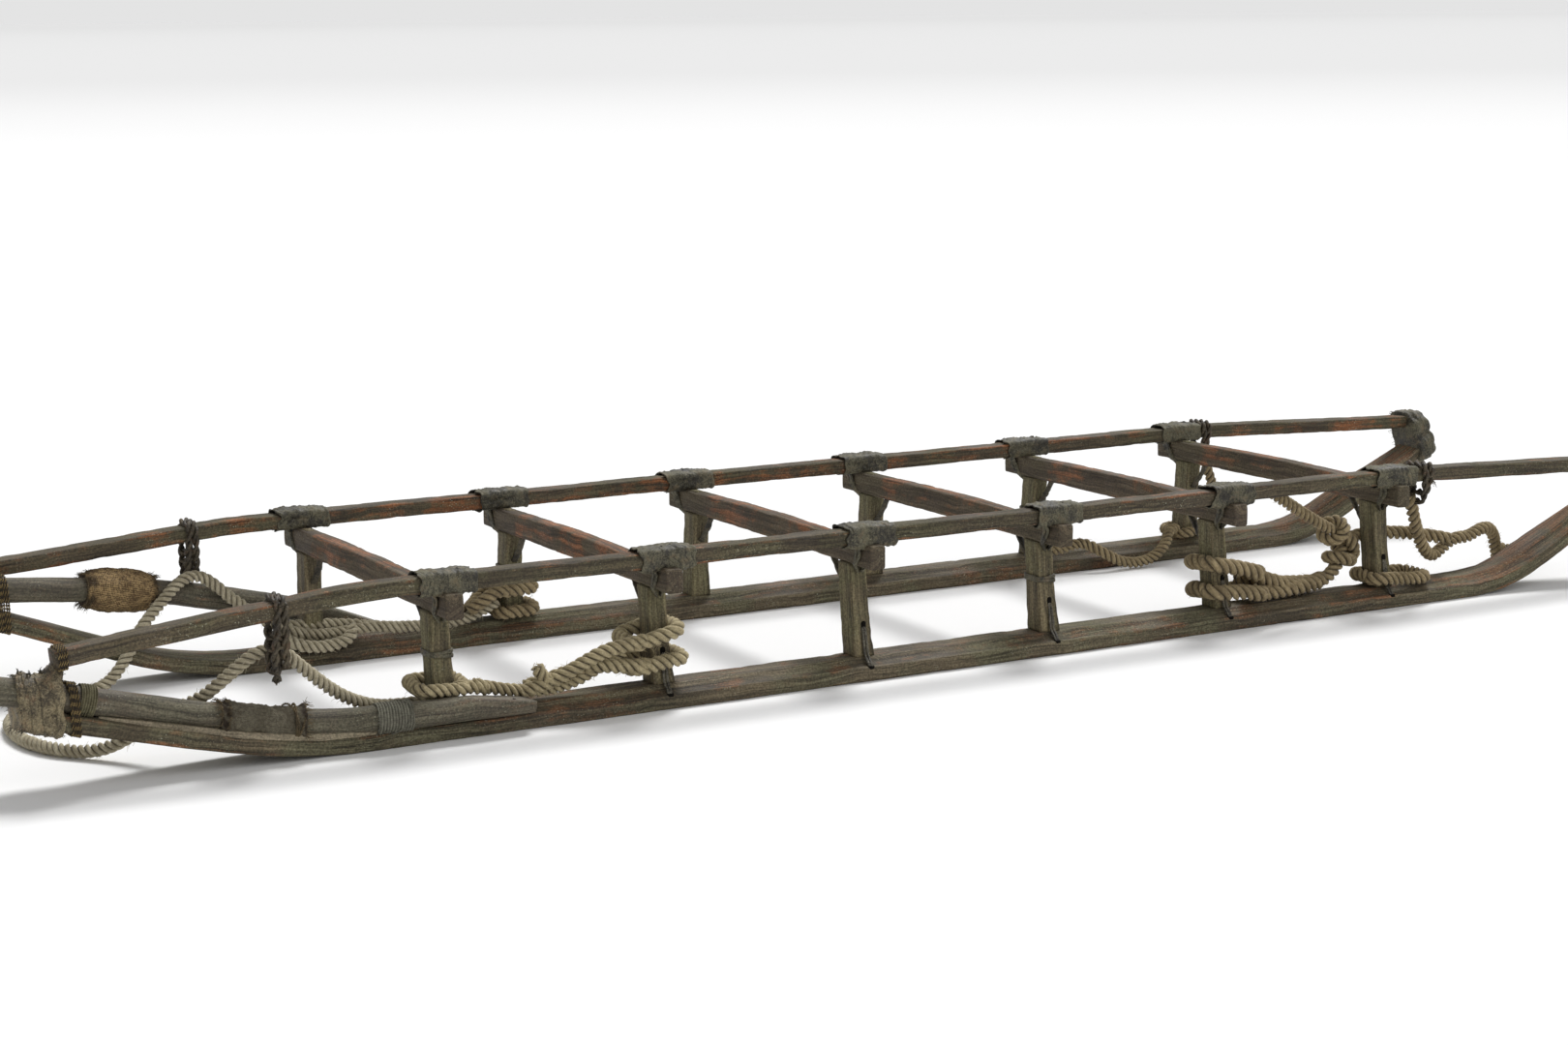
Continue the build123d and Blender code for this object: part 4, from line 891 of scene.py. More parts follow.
def make_crossbars():
    """Crossbars: the top is crowned between the uprights by the square of the distance from the middle."""
    rows = 90
    for i, x in enumerate(BAYS):
        even = np.linspace(0.003 - BAR_HALF, BAR_HALF - 0.003, rows - 4)
        y = np.concatenate([[-BAR_HALF, 0.0015 - BAR_HALF], even, [BAR_HALF - 0.0015, BAR_HALF]])
        shoulder = UPRIGHT_TOP_Y - UPRIGHT_DEPTH / 2
        crown = 0.004 * np.clip(1 - (y / shoulder) ** 2, 0, 1)
        height = BAR_TOP - BAR_LOW
        path = np.stack([np.full(rows, x), y, np.full(rows, (BAR_TOP + BAR_LOW) / 2)], axis=1)
        section, edge = rounded_box(BAR_WIDTH, height, 0.004, 6)
        section = np.broadcast_to(section, (rows,) + section.shape).copy()
        section[..., 1] += np.where(section[..., 1] > 0, crown[:, None], 0)
        edges = np.broadcast_to(edge, section.shape[:2]).copy()
        edges = edges * np.where(np.abs(y) > shoulder, 0.4, 1.0)[:, None]
        section[[0, -1]] *= 0.92
        grid = weathered(carry(path, section), edges, 140 + i, 0.0005, 0.0015)
        red = np.clip((shoulder - np.abs(y)) / 0.05, 0, 1)[:, None]
        edges = np.maximum(0.6 * edges * red, red * np.where(section[..., 1] > 0.45 * height, 0.62, 0.50))
        show(tube_piece(f"crossbar_{i + 1}_wood", [grid], [edges]), "crossbar_wood", f"crossbar_{i + 1}")
    tenons = []
    for x in BAYS:
        for sign in (1, -1):
            y = sign * UPRIGHT_TOP_Y
            ends = np.array([(x, y, BAR_TOP - 0.004), (x, y, BAR_TOP + 0.0012)])
            tenons.append(carry(ends, rounded_box(0.014, 0.024, 0.001, 2, 2)[0], (0, 1, 0)))
    show(tube_piece("tenon_tops", tenons), "upright_wood")


def upright_place(z):
    """Sideways shift, distance from the centre line and width of an upright at a height."""
    lean = (z - FOOT_Z) / (BAR_LOW - FOOT_Z)
    flare = np.clip((FLARE_TOP - z) / (FLARE_TOP - FOOT_Z), 0, 1) ** 1.5
    return (FOOT_SHIFT * flare, RUNNER_Y + (UPRIGHT_TOP_Y - RUNNER_Y) * lean,
            UPRIGHT_WIDTH + (FOOT_WIDTH - UPRIGHT_WIDTH) * flare)


def make_uprights():
    """Leaning posts that widen to the rear at the foot."""
    rows = 46
    for side, sign in SIDES.items():
        for i, x in enumerate(BAYS):
            z = np.linspace(FOOT_Z, BAR_LOW, rows)
            shift, y, width = upright_place(z)
            path = np.stack([np.full(rows, x), sign * y, z], axis=1)
            section, edge = rounded_box(UPRIGHT_WIDTH, UPRIGHT_DEPTH, 0.0018, 9)
            section = np.broadcast_to(section, (rows,) + section.shape).copy()
            section[..., 0] = section[..., 0] * (width / UPRIGHT_WIDTH)[:, None] + shift[:, None]
            grid = path[:, None] + section[..., :1] * np.array([1.0, 0, 0]) + section[...,
                1:] * np.array([0, 1.0, 0])
            edges = 0.6 * np.broadcast_to(edge, grid.shape[:2])
            grid = weathered(grid, edges, 160 + 10 * i + sign, 0.0009, 0.0016)
            show(tube_piece(f"upright_{side}_{i + 1}_wood", [grid], [edges]),
                 "upright_wood", f"upright_{side}_{i + 1}")


BOW_SPOTS = [(-.130, .3265, .0449), (.080, .3265, .0449), (.200, .306, .046), (.300, .302, .0625),
             (.430, .299, .0948), (.640, .297, .148), (.790, .268, .172), (.840, .130, .180),
             (.840, -.110, .186), (.785, -.240, .191), (.640, -.266, .192), (.503, -.270, .176),
             (.268, -.300, .148), (.064, -.3265, .097), (-.130, -.3265, .0459)]
BOW_LINE = nurbs_line([(BAYS[0] + x, y, z) for x, y, z in BOW_SPOTS], resolution=24)
# the scarf's length, its end's thickness, and what its blunt end adds to that
BOW_SCARF, BOW_SCARF_END, BOW_SCARF_BLUNT = 0.120, 0.012, 0.009
BOW_LEAST_Z = 0.0245


def bow_stretch(side, near, far, rows):
    """The bow's centre line between two distances ahead of the first upright."""
    middle = len(BOW_LINE) // 2
    half = BOW_LINE[:middle] if side == "left" else BOW_LINE[::-1][:middle]
    x = BAYS[0] + np.linspace(near, far, rows)
    return np.stack([x, np.interp(x, half[:, 0], half[:, 1]), np.interp(x, half[:, 0], half[:, 2])], axis=1)


def make_bow():
    """Bent pole with slightly knobbly sides. Each end is planed to a scarf: no point of it stands above a
    line that rises from the scarf's tip."""
    path = resample(BOW_LINE, 340)
    s = along(path)
    thick = BOW_RADIUS * (1 + 0.012 * ripple(s, 0, 21, 0.3))
    grid = round_tube(path, thick, 28)
    tip_x, _, tip_z = BOW_SPOTS[0]
    end_x = BAYS[0] + tip_x
    low = tip_z - BOW_RADIUS + BOW_SCARF_END + BOW_SCARF_BLUNT
    for sign, lift in ((1, 0.0), (-1, 0.26 * BOW_SCARF)):
        slope = (tip_z + BOW_RADIUS + lift - low) / BOW_SCARF
        ceiling = low + (grid[..., 0] - end_x) * slope
        near_end = (grid[..., 1] * sign > 0) & (grid[..., 0] < end_x + BOW_SCARF)
        grid[..., 2] = np.where(near_end, np.minimum(grid[..., 2], ceiling), grid[..., 2])
    grid = weathered(grid, np.zeros(grid.shape[:2]), 190, 0.0006, 0)
    grid[..., 2] = np.maximum(grid[..., 2], BOW_LEAST_Z)
    edge = np.full(grid.shape[:2], 0.25)
    show(tube_piece("nose_bow_wood", [grid], [edge]), "bow_wood", "nose_bow")
    nails = []
    slope = (tip_z + BOW_RADIUS - low) / BOW_SCARF
    for x, y in ((-0.098, 0.3345), (-0.072, 0.3225)):
        top = low + (x - tip_x) * slope
        for sign in (1, -1):
            ends = np.array([(BAYS[0] + x, sign * y, top - 0.002), (BAYS[0] + x, sign * y, top + 0.0012)])
            nails.append(round_tube(ends, 0.0026, 10))
    show(tube_piece("scarf_nails", nails), NAIL)


def make_painted_highlight_strip():
    """Pale strip of painted highlight, standing for the lit top of the runner, between the pole and the
    runner's outer edge on the left, thinned at both ends by the square root of a sine."""
    rows = 110
    x = np.linspace(BAYS[0] + 0.520, BAYS[0] - 0.040, rows)
    full = np.sqrt(np.sin(math.pi * np.linspace(0.02, 0.98, rows)))
    path = np.stack([x, RUNNER_Y + tip_half("left", x) - 0.0105, sole_z("left", x) + BOARD + 0.0035], axis=1)
    section, _ = rounded_box(0.016, 0.0115, 0.003, 5)
    grid = carry(path, section[None] * full[:, None, None])
    show(tube_piece("nose_painted_highlight_left", [weathered(grid, np.zeros(grid.shape[:2]), 195, 0.0005,
        0)]), "painted_highlight_wood")


for side in SIDES:
    make_runner(side)
    make_rail(side)
make_crossbars()
make_uprights()
make_bow()
make_painted_highlight_strip()

# ---- hide lashings ------------------------------------------------------------------------------


def shell_skin(grids, edges=None):
    """Vertices, faces, UV and edge values for walls that close on themselves both ways: the first row of
    each grid follows its last."""
    vertices, faces, uvs, edge_values, base = [], [], [], [], 0
    for k, grid in enumerate(grids):
        rows, cols = grid.shape[:2]
        steps = np.linalg.norm(np.diff(grid, axis=0, append=grid[:1]), axis=2).mean(axis=1)
        run = np.concatenate([[0], np.cumsum(steps)])
        girth = along(np.concatenate([grid[0], grid[0][:1]]))
        quads, corners = quad_mesh(grid, rows, run, girth)
        faces += (quads + base).tolist()
        uvs.append(corners)
        vertices.append(grid.reshape(-1, 3))
        edge_values.append(np.zeros(rows * cols) if edges is None else np.broadcast_to(edges[k],
            (rows, cols)).ravel())
        base += rows * cols
    return np.concatenate(vertices), faces, np.concatenate(uvs), np.concatenate(edge_values)


def outward(section):
    """Outward normals of closed sections, given in turn to the left: (dz, -dy) of the line through each
    point's neighbours."""
    step = np.roll(section, -1, axis=-2) - np.roll(section, 1, axis=-2)
    return unit(np.stack([step[..., 1], -step[..., 0]], axis=-1))


def even_loop(points, count):
    """Closed line resampled to evenly spaced points."""
    points = np.concatenate([points, points[:1]])
    s = along(points)
    t = np.linspace(0, s[-1], count, endpoint=False)
    return np.stack([np.interp(t, s, points[:, k]) for k in range(points.shape[1])], axis=1)


def bump_at(value, centre, width):
    """Smooth hump: exp(-((value - centre) / width) squared)."""
    return np.exp(-((value - centre) / width) ** 2)


def wall_of(path, section, height, thickness):
    """Closed wall over a section carried along a path: the outer face stands height off the section, and the
    inner face thickness below it."""
    normal = outward(section)
    outer = carry(path, section + normal * height[..., None])
    inner = carry(path, section + normal * np.maximum(height - thickness, 0.0003)[..., None])
    return np.concatenate([outer, inner[::-1]])


SLEEVE_LENGTH = 0.090


def sleeve_over_rail(side, x, seed):
    """Hide sleeve round the rail, with painted shade in the troughs of its folds and over its inner wall. Its
    height is a layer that tapers to the rear, plus a swell on top, slanting folds, a lifted front edge, a
    rolled rear hem and a wavy lip low on the outer side."""
    rows, cols = 52, 80
    rng = np.random.default_rng(seed)
    s = np.linspace(-0.5, 0.5, rows)
    place = x + s * SLEEVE_LENGTH
    path = np.stack([place, np.full(rows, SIDES[side] * RAIL_Y), rail_z(side, place)], axis=1)
    loop = even_loop(rounded_box(RAIL_WIDTH + 0.001, RAIL_HEIGHT + 0.001, 0.0045)[0], cols)
    section = np.broadcast_to(loop, (rows, cols, 2))
    u = s[:, None] * np.ones((1, cols))
    y, z = section[..., 0] * SIDES[side], section[..., 1]
    outer_side = np.clip((y - 0.004) / 0.009, 0, 1)
    above = np.clip((z - 0.004) / 0.008, 0, 1)
    under = np.clip((-z - 0.006) / 0.006, 0, 1)
    lean, pace, start = rng.uniform(-0.12, 0.12), rng.uniform(8.5, 11.5), rng.uniform(0, TAU)
    slant = u + lean * z / 0.0125 + 0.035 * ripple(u, z * 20, seed + 5, 0.9)
    pleats = np.abs(np.sin(slant * pace * math.pi + start)) ** 0.7
    fine = np.sin(slant * TAU * 15 + start)
    gather = 0.35 + 0.65 * bump_at(u, 0.30 * math.copysign(1, lean), 0.26)
    folds = 0.8 * (pleats - 0.75) * gather + 0.10 * fine * (0.4 + 0.6 * bump_at(u, 0.0, 0.3))
    swell = np.clip(1 - (2.05 * (u - 0.04)) ** 4, 0, 1)
    height = 0.0027 + 0.0035 * above * swell * (1 + 0.35 * ripple(u, y * 6, seed + 6, 0.8))
    height = height + 0.0022 * folds * (0.30 + 0.70 * outer_side)
    height = height + 0.0026 * bump_at(u, 0.5, 0.035) * (0.7 + 0.6 * ripple(u, y * 12, seed, 0.5))
    height = height + 0.0014 * bump_at(u, -0.46, 0.03)
    lip = bump_at(z, -0.0135, 0.0055) * outer_side * (0.55 + 0.45 * np.cos((u + 0.1) * TAU * 1.6 + seed))
    height = height + 0.0050 * lip * np.clip(1 - (2 * u) ** 6, 0, 1)
    height = height + 0.0008 * ripple(u * 0.088, y + z, seed + 1, 0.018)
    height = np.clip(height - 0.0016 * under * (1 - outer_side), 0.0012, 0.0088)
    # both edges wander along the rail, the front one more
    front = 0.005 * ripple(y * 8, z * 8, seed + 2, 0.4) * bump_at(u, 0.5, 0.1)
    wander = front + 0.003 * ripple(y * 9, z * 9, seed + 3, 0.4) * bump_at(u, -0.5, 0.1)
    grid = wall_of(path, section, height, 0.0024)
    grid[:rows, :, 0] += wander
    grid[rows:, :, 0] += wander[::-1]
    # painted shade: the troughs of the folds, most on the outer side, and the whole inner wall
    painted_shade = np.clip(-folds * 2.6 - 0.35, 0, 1) * (0.25 + 0.75 * outer_side)
    return grid, np.concatenate([painted_shade, np.ones((rows, cols))])


def strap(points, width, thickness, across, rows=30, seed=1, wave=0.0003):
    """Flat thong along a route: a section twice rounded, width along a fixed direction and thickness
    square to it."""
    path = resample(np.asarray(points, float), rows)
    tangent = unit(np.gradient(path, axis=0))
    across = unit(np.asarray(across, float) - tangent * (tangent @ np.asarray(across, float))[:, None])
    out = np.cross(tangent, across)
    a = np.linspace(0, TAU, 12, endpoint=False)
    cy, cz = np.sign(np.cos(a)) * np.abs(np.cos(a)) ** 0.55, np.sign(np.sin(a)) * np.abs(np.sin(a)) ** 0.8
    wobble = 1 + 0.12 * ripple(along(path), 0, seed, 0.03)[:, None, None]
    grid = path[:, None] + wobble * (cy[None, :, None] * width / 2 * across[:, None] + cz[None, :,
        None] * thickness / 2 * out[:, None])
    return grid + wave * ripple(along(path)[:, None], a[None] * 0.01, seed, 0.02)[..., None]


def smooth_route(points, count=40):
    """Route with its corners rounded: a quadratic curve between the middles of its runs."""
    p = np.asarray(points, float)
    middle = (p[1:] + p[:-1]) / 2
    t = np.linspace(0, 1, 12)[:, None]
    parts = [p[:1]]
    for a, b, c in zip(middle, p[1:-1], middle[1:]):
        parts.append((1 - t) ** 2 * a + 2 * t * (1 - t) * b + t ** 2 * c)
    parts.append(p[-1:])
    return resample(np.concatenate(parts), count)


def turn_grid(x, side, z, height, grow, seed, slope, thickness):
    """One flat turn of thong round an upright, level but for a slope along the sled."""
    count, around = 72, 10
    shift, y, width = upright_place(z)
    loop = even_loop(rounded_box(width + 2 * grow, UPRIGHT_DEPTH + 2 * grow, 0.006)[0], count)
    normal = outward(loop[None])[0]
    a = np.linspace(0, TAU, around, endpoint=False)
    ca, sa = np.sign(np.cos(a)) * np.abs(np.cos(a)) ** 0.8, np.sign(np.sin(a)) * np.abs(np.sin(a)) ** 0.6
    girth = np.linspace(0, 0.15, count)
    rise = slope * loop[:, 0] + 0.0009 * ripple(girth, 0, seed, 0.1)
    lift = 0.0005 * ripple(girth, 0.02, seed + 1, 0.04)
    flat = loop[:, None] + normal[:, None] * (thickness / 2 * (1 + ca)[None, :, None] + lift[:, None, None])
    grid = np.zeros((count, around, 3))
    grid[..., 0] = x + shift + flat[..., 0]
    grid[..., 1] = SIDES[side] * y + flat[..., 1]
    grid[..., 2] = z + rise[:, None] + height / 2 * sa[None]
    return grid


def make_lashings():
    """At each crossbar end: the sleeve over the rail, and the thongs that run down past the bar in a V to the
    upright's outer face."""
    for side, sign in SIDES.items():
        sleeves, painted_shade, straps, ends = [], [], [], []
        for i, x in enumerate(BAYS):
            seed = 300 + 40 * i + 7 * sign
            rng = np.random.default_rng(seed)
            sleeve, shade = sleeve_over_rail(side, x, seed)
            sleeves.append(sleeve)
            painted_shade.append(shade)
            face = upright_place(BAR_LOW - 0.02)[1] + UPRIGHT_DEPTH / 2
            for fore in (1, -1):
                for k, (out, low) in enumerate(((0.013, 0.000), (0.003, 0.006))):
                    bar_side = x + fore * (BAR_WIDTH / 2 + 0.0022)
                    y0 = RAIL_Y + out
                    route = [(x + fore * (0.026 - 0.004 * k), sign * y0, BAR_TOP - 0.001),
                             (bar_side + fore * 0.001, sign * (y0 - 0.001), BAR_TOP - 0.009),
                             (bar_side, sign * (y0 - 0.004), (BAR_TOP + BAR_LOW) / 2),
                             (bar_side - fore * 0.002, sign * (face + 0.014 - 0.0035 * k), BAR_LOW + 0.002),
                             (x + fore * (0.010 - 0.002 * k), sign * (face + 0.0040), BAR_LOW - low),
                             (x + fore * (0.004 - 0.001 * k), sign * (face + 0.0010), BAR_LOW - low - 0.007)]
                    straps.append(strap(smooth_route(route, 30), 0.0074 + 0.002 * rng.random(), 0.0036,
                                        (fore * 0.25, sign, 0.15), 20, seed + k, 0.0006))
            # a frayed thong end on top of the sleeve
            knot = (x + rng.uniform(-0.030, 0.010), sign * (RAIL_Y + 0.006),
                    float(rail_z(side, x)) + RAIL_HEIGHT / 2 + 0.005)
            ends += tuft(knot, (0.4, 0.3 * sign, 0.35), 7, 0.012, 0.5, seed + 3, 0.0010, 0.9, 0.002)
        show(new_mesh_piece(f"rail_lashings_{side}_hide", *shell_skin(sleeves, painted_shade)),
             "hide_lashing", f"rail_lashings_{side}")
        show(tube_piece(f"rail_lashings_{side}_thongs", straps), "hide_lashing")
        show(tube_piece(f"rail_lashings_{side}_ends", ends), "hide_dark")


def make_foot_thongs():
    """Doubled thongs from the slot in each upright over the rib to the hole in the runner, with the slot and
    the hole as near-black plugs of painted shade."""
    for side, sign in SIDES.items():
        thongs, holes = [], []
        for i, x in enumerate(BAYS[1:]):
            foot_x, top = x + FOOT_SHIFT, FOOT_Z + THONG_SLOT_RISE
            face_top, face_low = (upright_place(z)[1] + UPRIGHT_DEPTH / 2 for z in (top, FOOT_Z))
            hole_y = RUNNER_Y + THONG_HOLE_OUT
            for k in (-1, 1):
                bend = 0.0022 * k
                route = [(foot_x + 0.3 * bend, sign * (face_top - 0.003), top + 0.001),
                         (foot_x + bend, sign * (face_top + 0.0022), top - 0.004),
                         (foot_x + 1.3 * bend, sign * (face_low + 0.0028), FOOT_Z + 0.012),
                         (foot_x + 1.3 * bend + 0.001, sign * (face_low + 0.0062), FOOT_Z + 0.003),
                         (foot_x + bend + 0.002, sign * (hole_y - 0.002), BOARD + 0.0036),
                         (foot_x + 0.6 * bend + 0.002, sign * hole_y, BOARD - 0.004)]
                thongs.append(strap(smooth_route(route, 30), 0.0042, 0.0030, (1, 0, 0), 30, 500 + i))
            slot_at = np.array([(foot_x, sign * (face_top - 0.002), top + 0.002),
                (foot_x, sign * (face_top + 0.0004), top + 0.002)])
            holes.append(carry(slot_at, rounded_box(0.0085, 0.014, 0.004, 2)[0]))
            hole_at = np.array([(foot_x + 0.002, sign * hole_y, BOARD - 0.003), (foot_x + 0.002,
                sign * (hole_y + 0.0005), BOARD + 0.0006)])
            holes.append(carry(hole_at, rounded_box(0.011, 0.009, 0.004, 2)[0], (0, 1, 0)))
        show(tube_piece(f"foot_thongs_{side}_hide", thongs), "hide_thong", f"foot_thongs_{side}")
        show(tube_piece(f"thong_hole_shade_{side}", holes), HOLE_SHADE)


def make_stays():
    """Small struts of dried hide from the crossbar's underside to the upright's inner face."""
    for side, sign in SIDES.items():
        grids = []
        for i, x in enumerate(BAYS):
            low = BAR_LOW - 0.050
            inner = [upright_place(z)[1] - UPRIGHT_DEPTH / 2 for z in (BAR_LOW, low)]
            route = [(x + 0.001, sign * (inner[0] - 0.036), BAR_LOW - 0.0006),
                     (x - 0.001, sign * (inner[0] - 0.018), BAR_LOW - 0.025),
                     (x + 0.001, sign * (inner[1] - 0.001), low + 0.002)]
            grids.append(strap(smooth_route(route, 20), 0.0105, 0.0060, (1, 0, 0), 20, 560 + i, 0.0006))
        show(tube_piece(f"stays_{side}_hide", grids), "hide_dark", f"stays_{side}")


# which uprights have a band, and the height of its lower turn and step to the upper one
BANDED = {"left": (0, 3), "right": (1, 4)}
BAND_Z, BAND_STEP = 0.1215, 0.0052


def make_upright_bands():
    """Two crossed turns of thong half-way up some uprights."""
    for side in SIDES:
        rings = []
        for i in BANDED[side]:
            for k in range(2):
                z, slope = BAND_Z + BAND_STEP * k, 0.06 * (1 - 2 * k)
                rings.append(turn_grid(BAYS[i], side, z, 0.0062, 0.0006, 580 + 3 * i + k, slope, 0.0036))
        show(new_mesh_piece(f"upright_bands_{side}_hide", *shell_skin(rings)),
             "hide_lashing", f"upright_bands_{side}")


make_lashings()
make_foot_thongs()
make_stays()
make_upright_bands()

# ---- turns of rope, splices and knots -----------------------------------------------------------
# upright, height, reach ahead of and behind the upright's centre, slope along the sled, radius and finish
ROPE_TURNS = {"left": [(0, .076, .053, .045, 0.00, 0.0108, "rope_khaki"), (1, .113, .064, .044,
    -0.14, 0.0125, "rope_khaki"), (1, .072, .064, .046, -0.04, 0.0125, "rope_khaki"), (4, .102, .044,
    .095, 0.26, 0.0138, "rope_tan"), (4, .060, .044, .098, 0.10, 0.0138, "rope_tan"), (5, .050, .040,
    .105, 0.00, 0.0120, "rope_tan")], "right": [(1, .091, .040, .047, -0.10, 0.0120, "rope_tan"),
    (1, .052, .040, .050, 0.05, 0.0120, "rope_tan"), (5, .050, .040, .053, 0.00, 0.0105, "rope_tan")]}


def turn_line(side, i, z, ahead, behind, slope, radius, seed):
    """Closed line of a turn of rope round an upright: a rounded rectangle that sags and rises a little and
    slopes along the sled."""
    sign = SIDES[side]
    clear, y, count = radius + 0.0001, upright_place(z)[1], 96
    thong = 0.003 if z - radius < FOOT_Z + THONG_SLOT_RISE else 0.0
    inner, outer = y - UPRIGHT_DEPTH / 2 - clear, y + UPRIGHT_DEPTH / 2 + clear + thong
    rear, front = BAYS[i] - behind + radius, BAYS[i] + ahead - radius
    loop = even_loop(rounded_box(front - rear, outer - inner, 0.0185, 8, 8)[0], count)
    sag = 0.0035 * np.sin(np.linspace(0, TAU, count, endpoint=False) + seed)
    dip = sag + 0.0015 * ripple(np.linspace(0, 0.3, count), 0, seed, 0.2)
    points = np.stack([loop[:, 0] + (front + rear) / 2, sign * (inner + outer) / 2 + loop[:, 1],
                       z + dip + slope * loop[:, 0]], axis=1)
    points[:, 2] = np.maximum(points[:, 2], FOOT_Z + 0.6 * radius)
    return points


def make_rope_turns():
    """Turns of rope round the uprights, a piece for each finish on a side."""
    for side in SIDES:
        grids, stray = {}, {}
        for k, (i, z, ahead, behind, slope, radius, finish_name) in enumerate(ROPE_TURNS[side]):
            line = turn_line(side, i, z, ahead, behind, slope, radius, 600 + k)
            closed = np.concatenate([line, line[:1]])
            grids.setdefault(finish_name, []).extend(strand_grids(closed, radius, closed=True, phase=0.5 * k))
            stray.setdefault(finish_name, []).extend(fuzz(closed, 640 + k + 10 * SIDES[side], radius))
        for number, finish_name in enumerate(grids):
            nodes = (f"rope_turns_{side}",) if number == 0 else ()
            show(rope_piece(f"rope_turns_{side}_{finish_name}", grids[finish_name]), finish_name, *nodes)
            show(tube_piece(f"rope_turns_{side}_{finish_name}_fibres", stray[finish_name]), finish_name)


make_rope_turns()


def rope_bit(points, seed, radius):
    """Strands of a short length of rope along a smooth route, and its centre line."""
    line = smooth_route(points, 60)
    return strand_grids(line, radius, phase=0.37 * seed), line


def ring_about(line, at, radius, seed, lean):
    """Closed line of a turn round a rope: a circle square to the rope at its point nearest a place, leant
    along the rope."""
    k = int(np.argmin(np.linalg.norm(line - np.asarray(at), axis=1)))
    k = min(max(k, 2), len(line) - 3)
    tangent = unit(line[k + 2] - line[k - 2])
    side = unit(np.cross(tangent, (0.0, 0.0, 1.0)))
    rise = np.cross(tangent, side)
    a = np.linspace(0, TAU, 73)[:, None]
    return line[k] + radius * (np.cos(a) * side + np.sin(a) * rise) + lean * radius * np.sin(
        a + seed) * tangent


def knot_line(centre, size, spin):
    """Trefoil: (sin t + 2 sin 2t, cos t - 2 cos 2t, -sin 3t) times a size, spun about Z."""
    t = np.linspace(0, TAU, 121)
    x, y, z = np.sin(t) + 2 * np.sin(2 * t), np.cos(t) - 2 * np.cos(2 * t), -np.sin(3 * t)
    c, s = math.cos(spin), math.sin(spin)
    return np.asarray(centre) + size * np.stack([c * x - s * y, s * x + c * y, z], axis=1)


# short ropes of the splices: finish, radius and route
SPLICES = {"splice_front_left": ("rope_khaki", [(0.0118, [(.668, .301, .052), (.625, .306, .060),
    (.578, .309, .080), (.535, .311, .100), (.500, .313, .106), (.462, .3127, .110)]),
    (0.0118, [(.655, .291, .056), (.600, .290, .066), (.562, .296, .078), (.528, .306, .077),
              (.496, .313, .072), (.458, .3145, .072)]),
    (0.0112, [(.776, .309, .073), (.748, .302, .071), (.722, .300, .064)]),
    (0.0112, [(.620, .304, .062), (.630, .305, .070), (.637, .305, .080),
              (.641, .305, .087)])]), "splice_rear_left": ("rope_tan",
    [(0.0140, [(-.712, .300, .092), (-.742, .302, .078), (-.785, .302, .062), (-.838, .296, .056),
               (-.880, .288, .056)]), (0.0140, [(-.720, .306, .054), (-.765, .306, .053),
    (-.815, .304, .056), (-.858, .296, .058), (-.884, .284, .060)]),
     (0.0130, [(-.712, .262, .074), (-.755, .272, .066), (-.815, .278, .058),
               (-.868, .280, .056)])]), "splice_mid_right": ("rope_pale",
    [(0.0110, [(.862, -.252, .066), (.838, -.232, .044), (.800, -.226, .034), (.755, -.229, .036),
               (.731, -.242, .046), (.728, -.256, .058)]),
     (0.0110, [(.836, -.272, .066), (.796, -.271, .063), (.740, -.266, .060), (.690, -.258, .052),
               (.640, -.253, .045)])]), "splice_front_right": ("rope_tan",
    [(0.0118, [(.520, -.256, .060), (.488, -.296, .064), (.470, -.314, .078), (.440, -.322, .091)]),
     (0.0118, [(.522, -.246, .062), (.500, -.240, .074), (.478, -.241, .088), (.450, -.243, .092)]),
     (0.0112, [(.505, -.268, .052), (.478, -.296, .054), (.455, -.318, .054)])])}


# frayed tips: piece, place, way, fibres, length, spread, seed, width, droop and reach of the roots
FRAYS = [("splice_front_left", (.642, .305, .088), (0.4, 0.1, 0.9), 16, 0.006, 0.5, 41, 0.0008, 0.3, 0.006),
         ("splice_mid_right", (.838, -.272, .066), (1, -0.2, 0.2), 18, 0.009, 0.5, 44, 0.0009, 0.3, 0.008),
         ("splice_front_left", (.590, .303, .060), (0.2, 0.4, -1), 16, 0.012, 0.5, 42, 0.0008, 0.1, 0.010),
         ("splice_rear_left", (-.888, .290, .062), (-1, 0.2, -0.3), 9, 0.006, 0.7, 43, 0.0011, 0.3, 0.008),
         ("splice_rear_left", (-1.500, .122, .014), (-1, -0.4, 0.1), 22, 0.020, 0.4, 47, 0.0008, 0.3, 0.007)]
# crossing knot above the rear splice, where the rope from the rail is hitched on: rope, place, radius, lean
HITCHES = [("rope_left_5_6", (-.936, .272, .090), 0.0205, 0.6), ("rope_left_5_6",
    (-.958, .262, .108), 0.020, -0.5), ("rope_left_rail", (-.925, .267, .139), 0.0185, 0.5)]
END_KNOT_AT = (-1.482, .134, .0235)


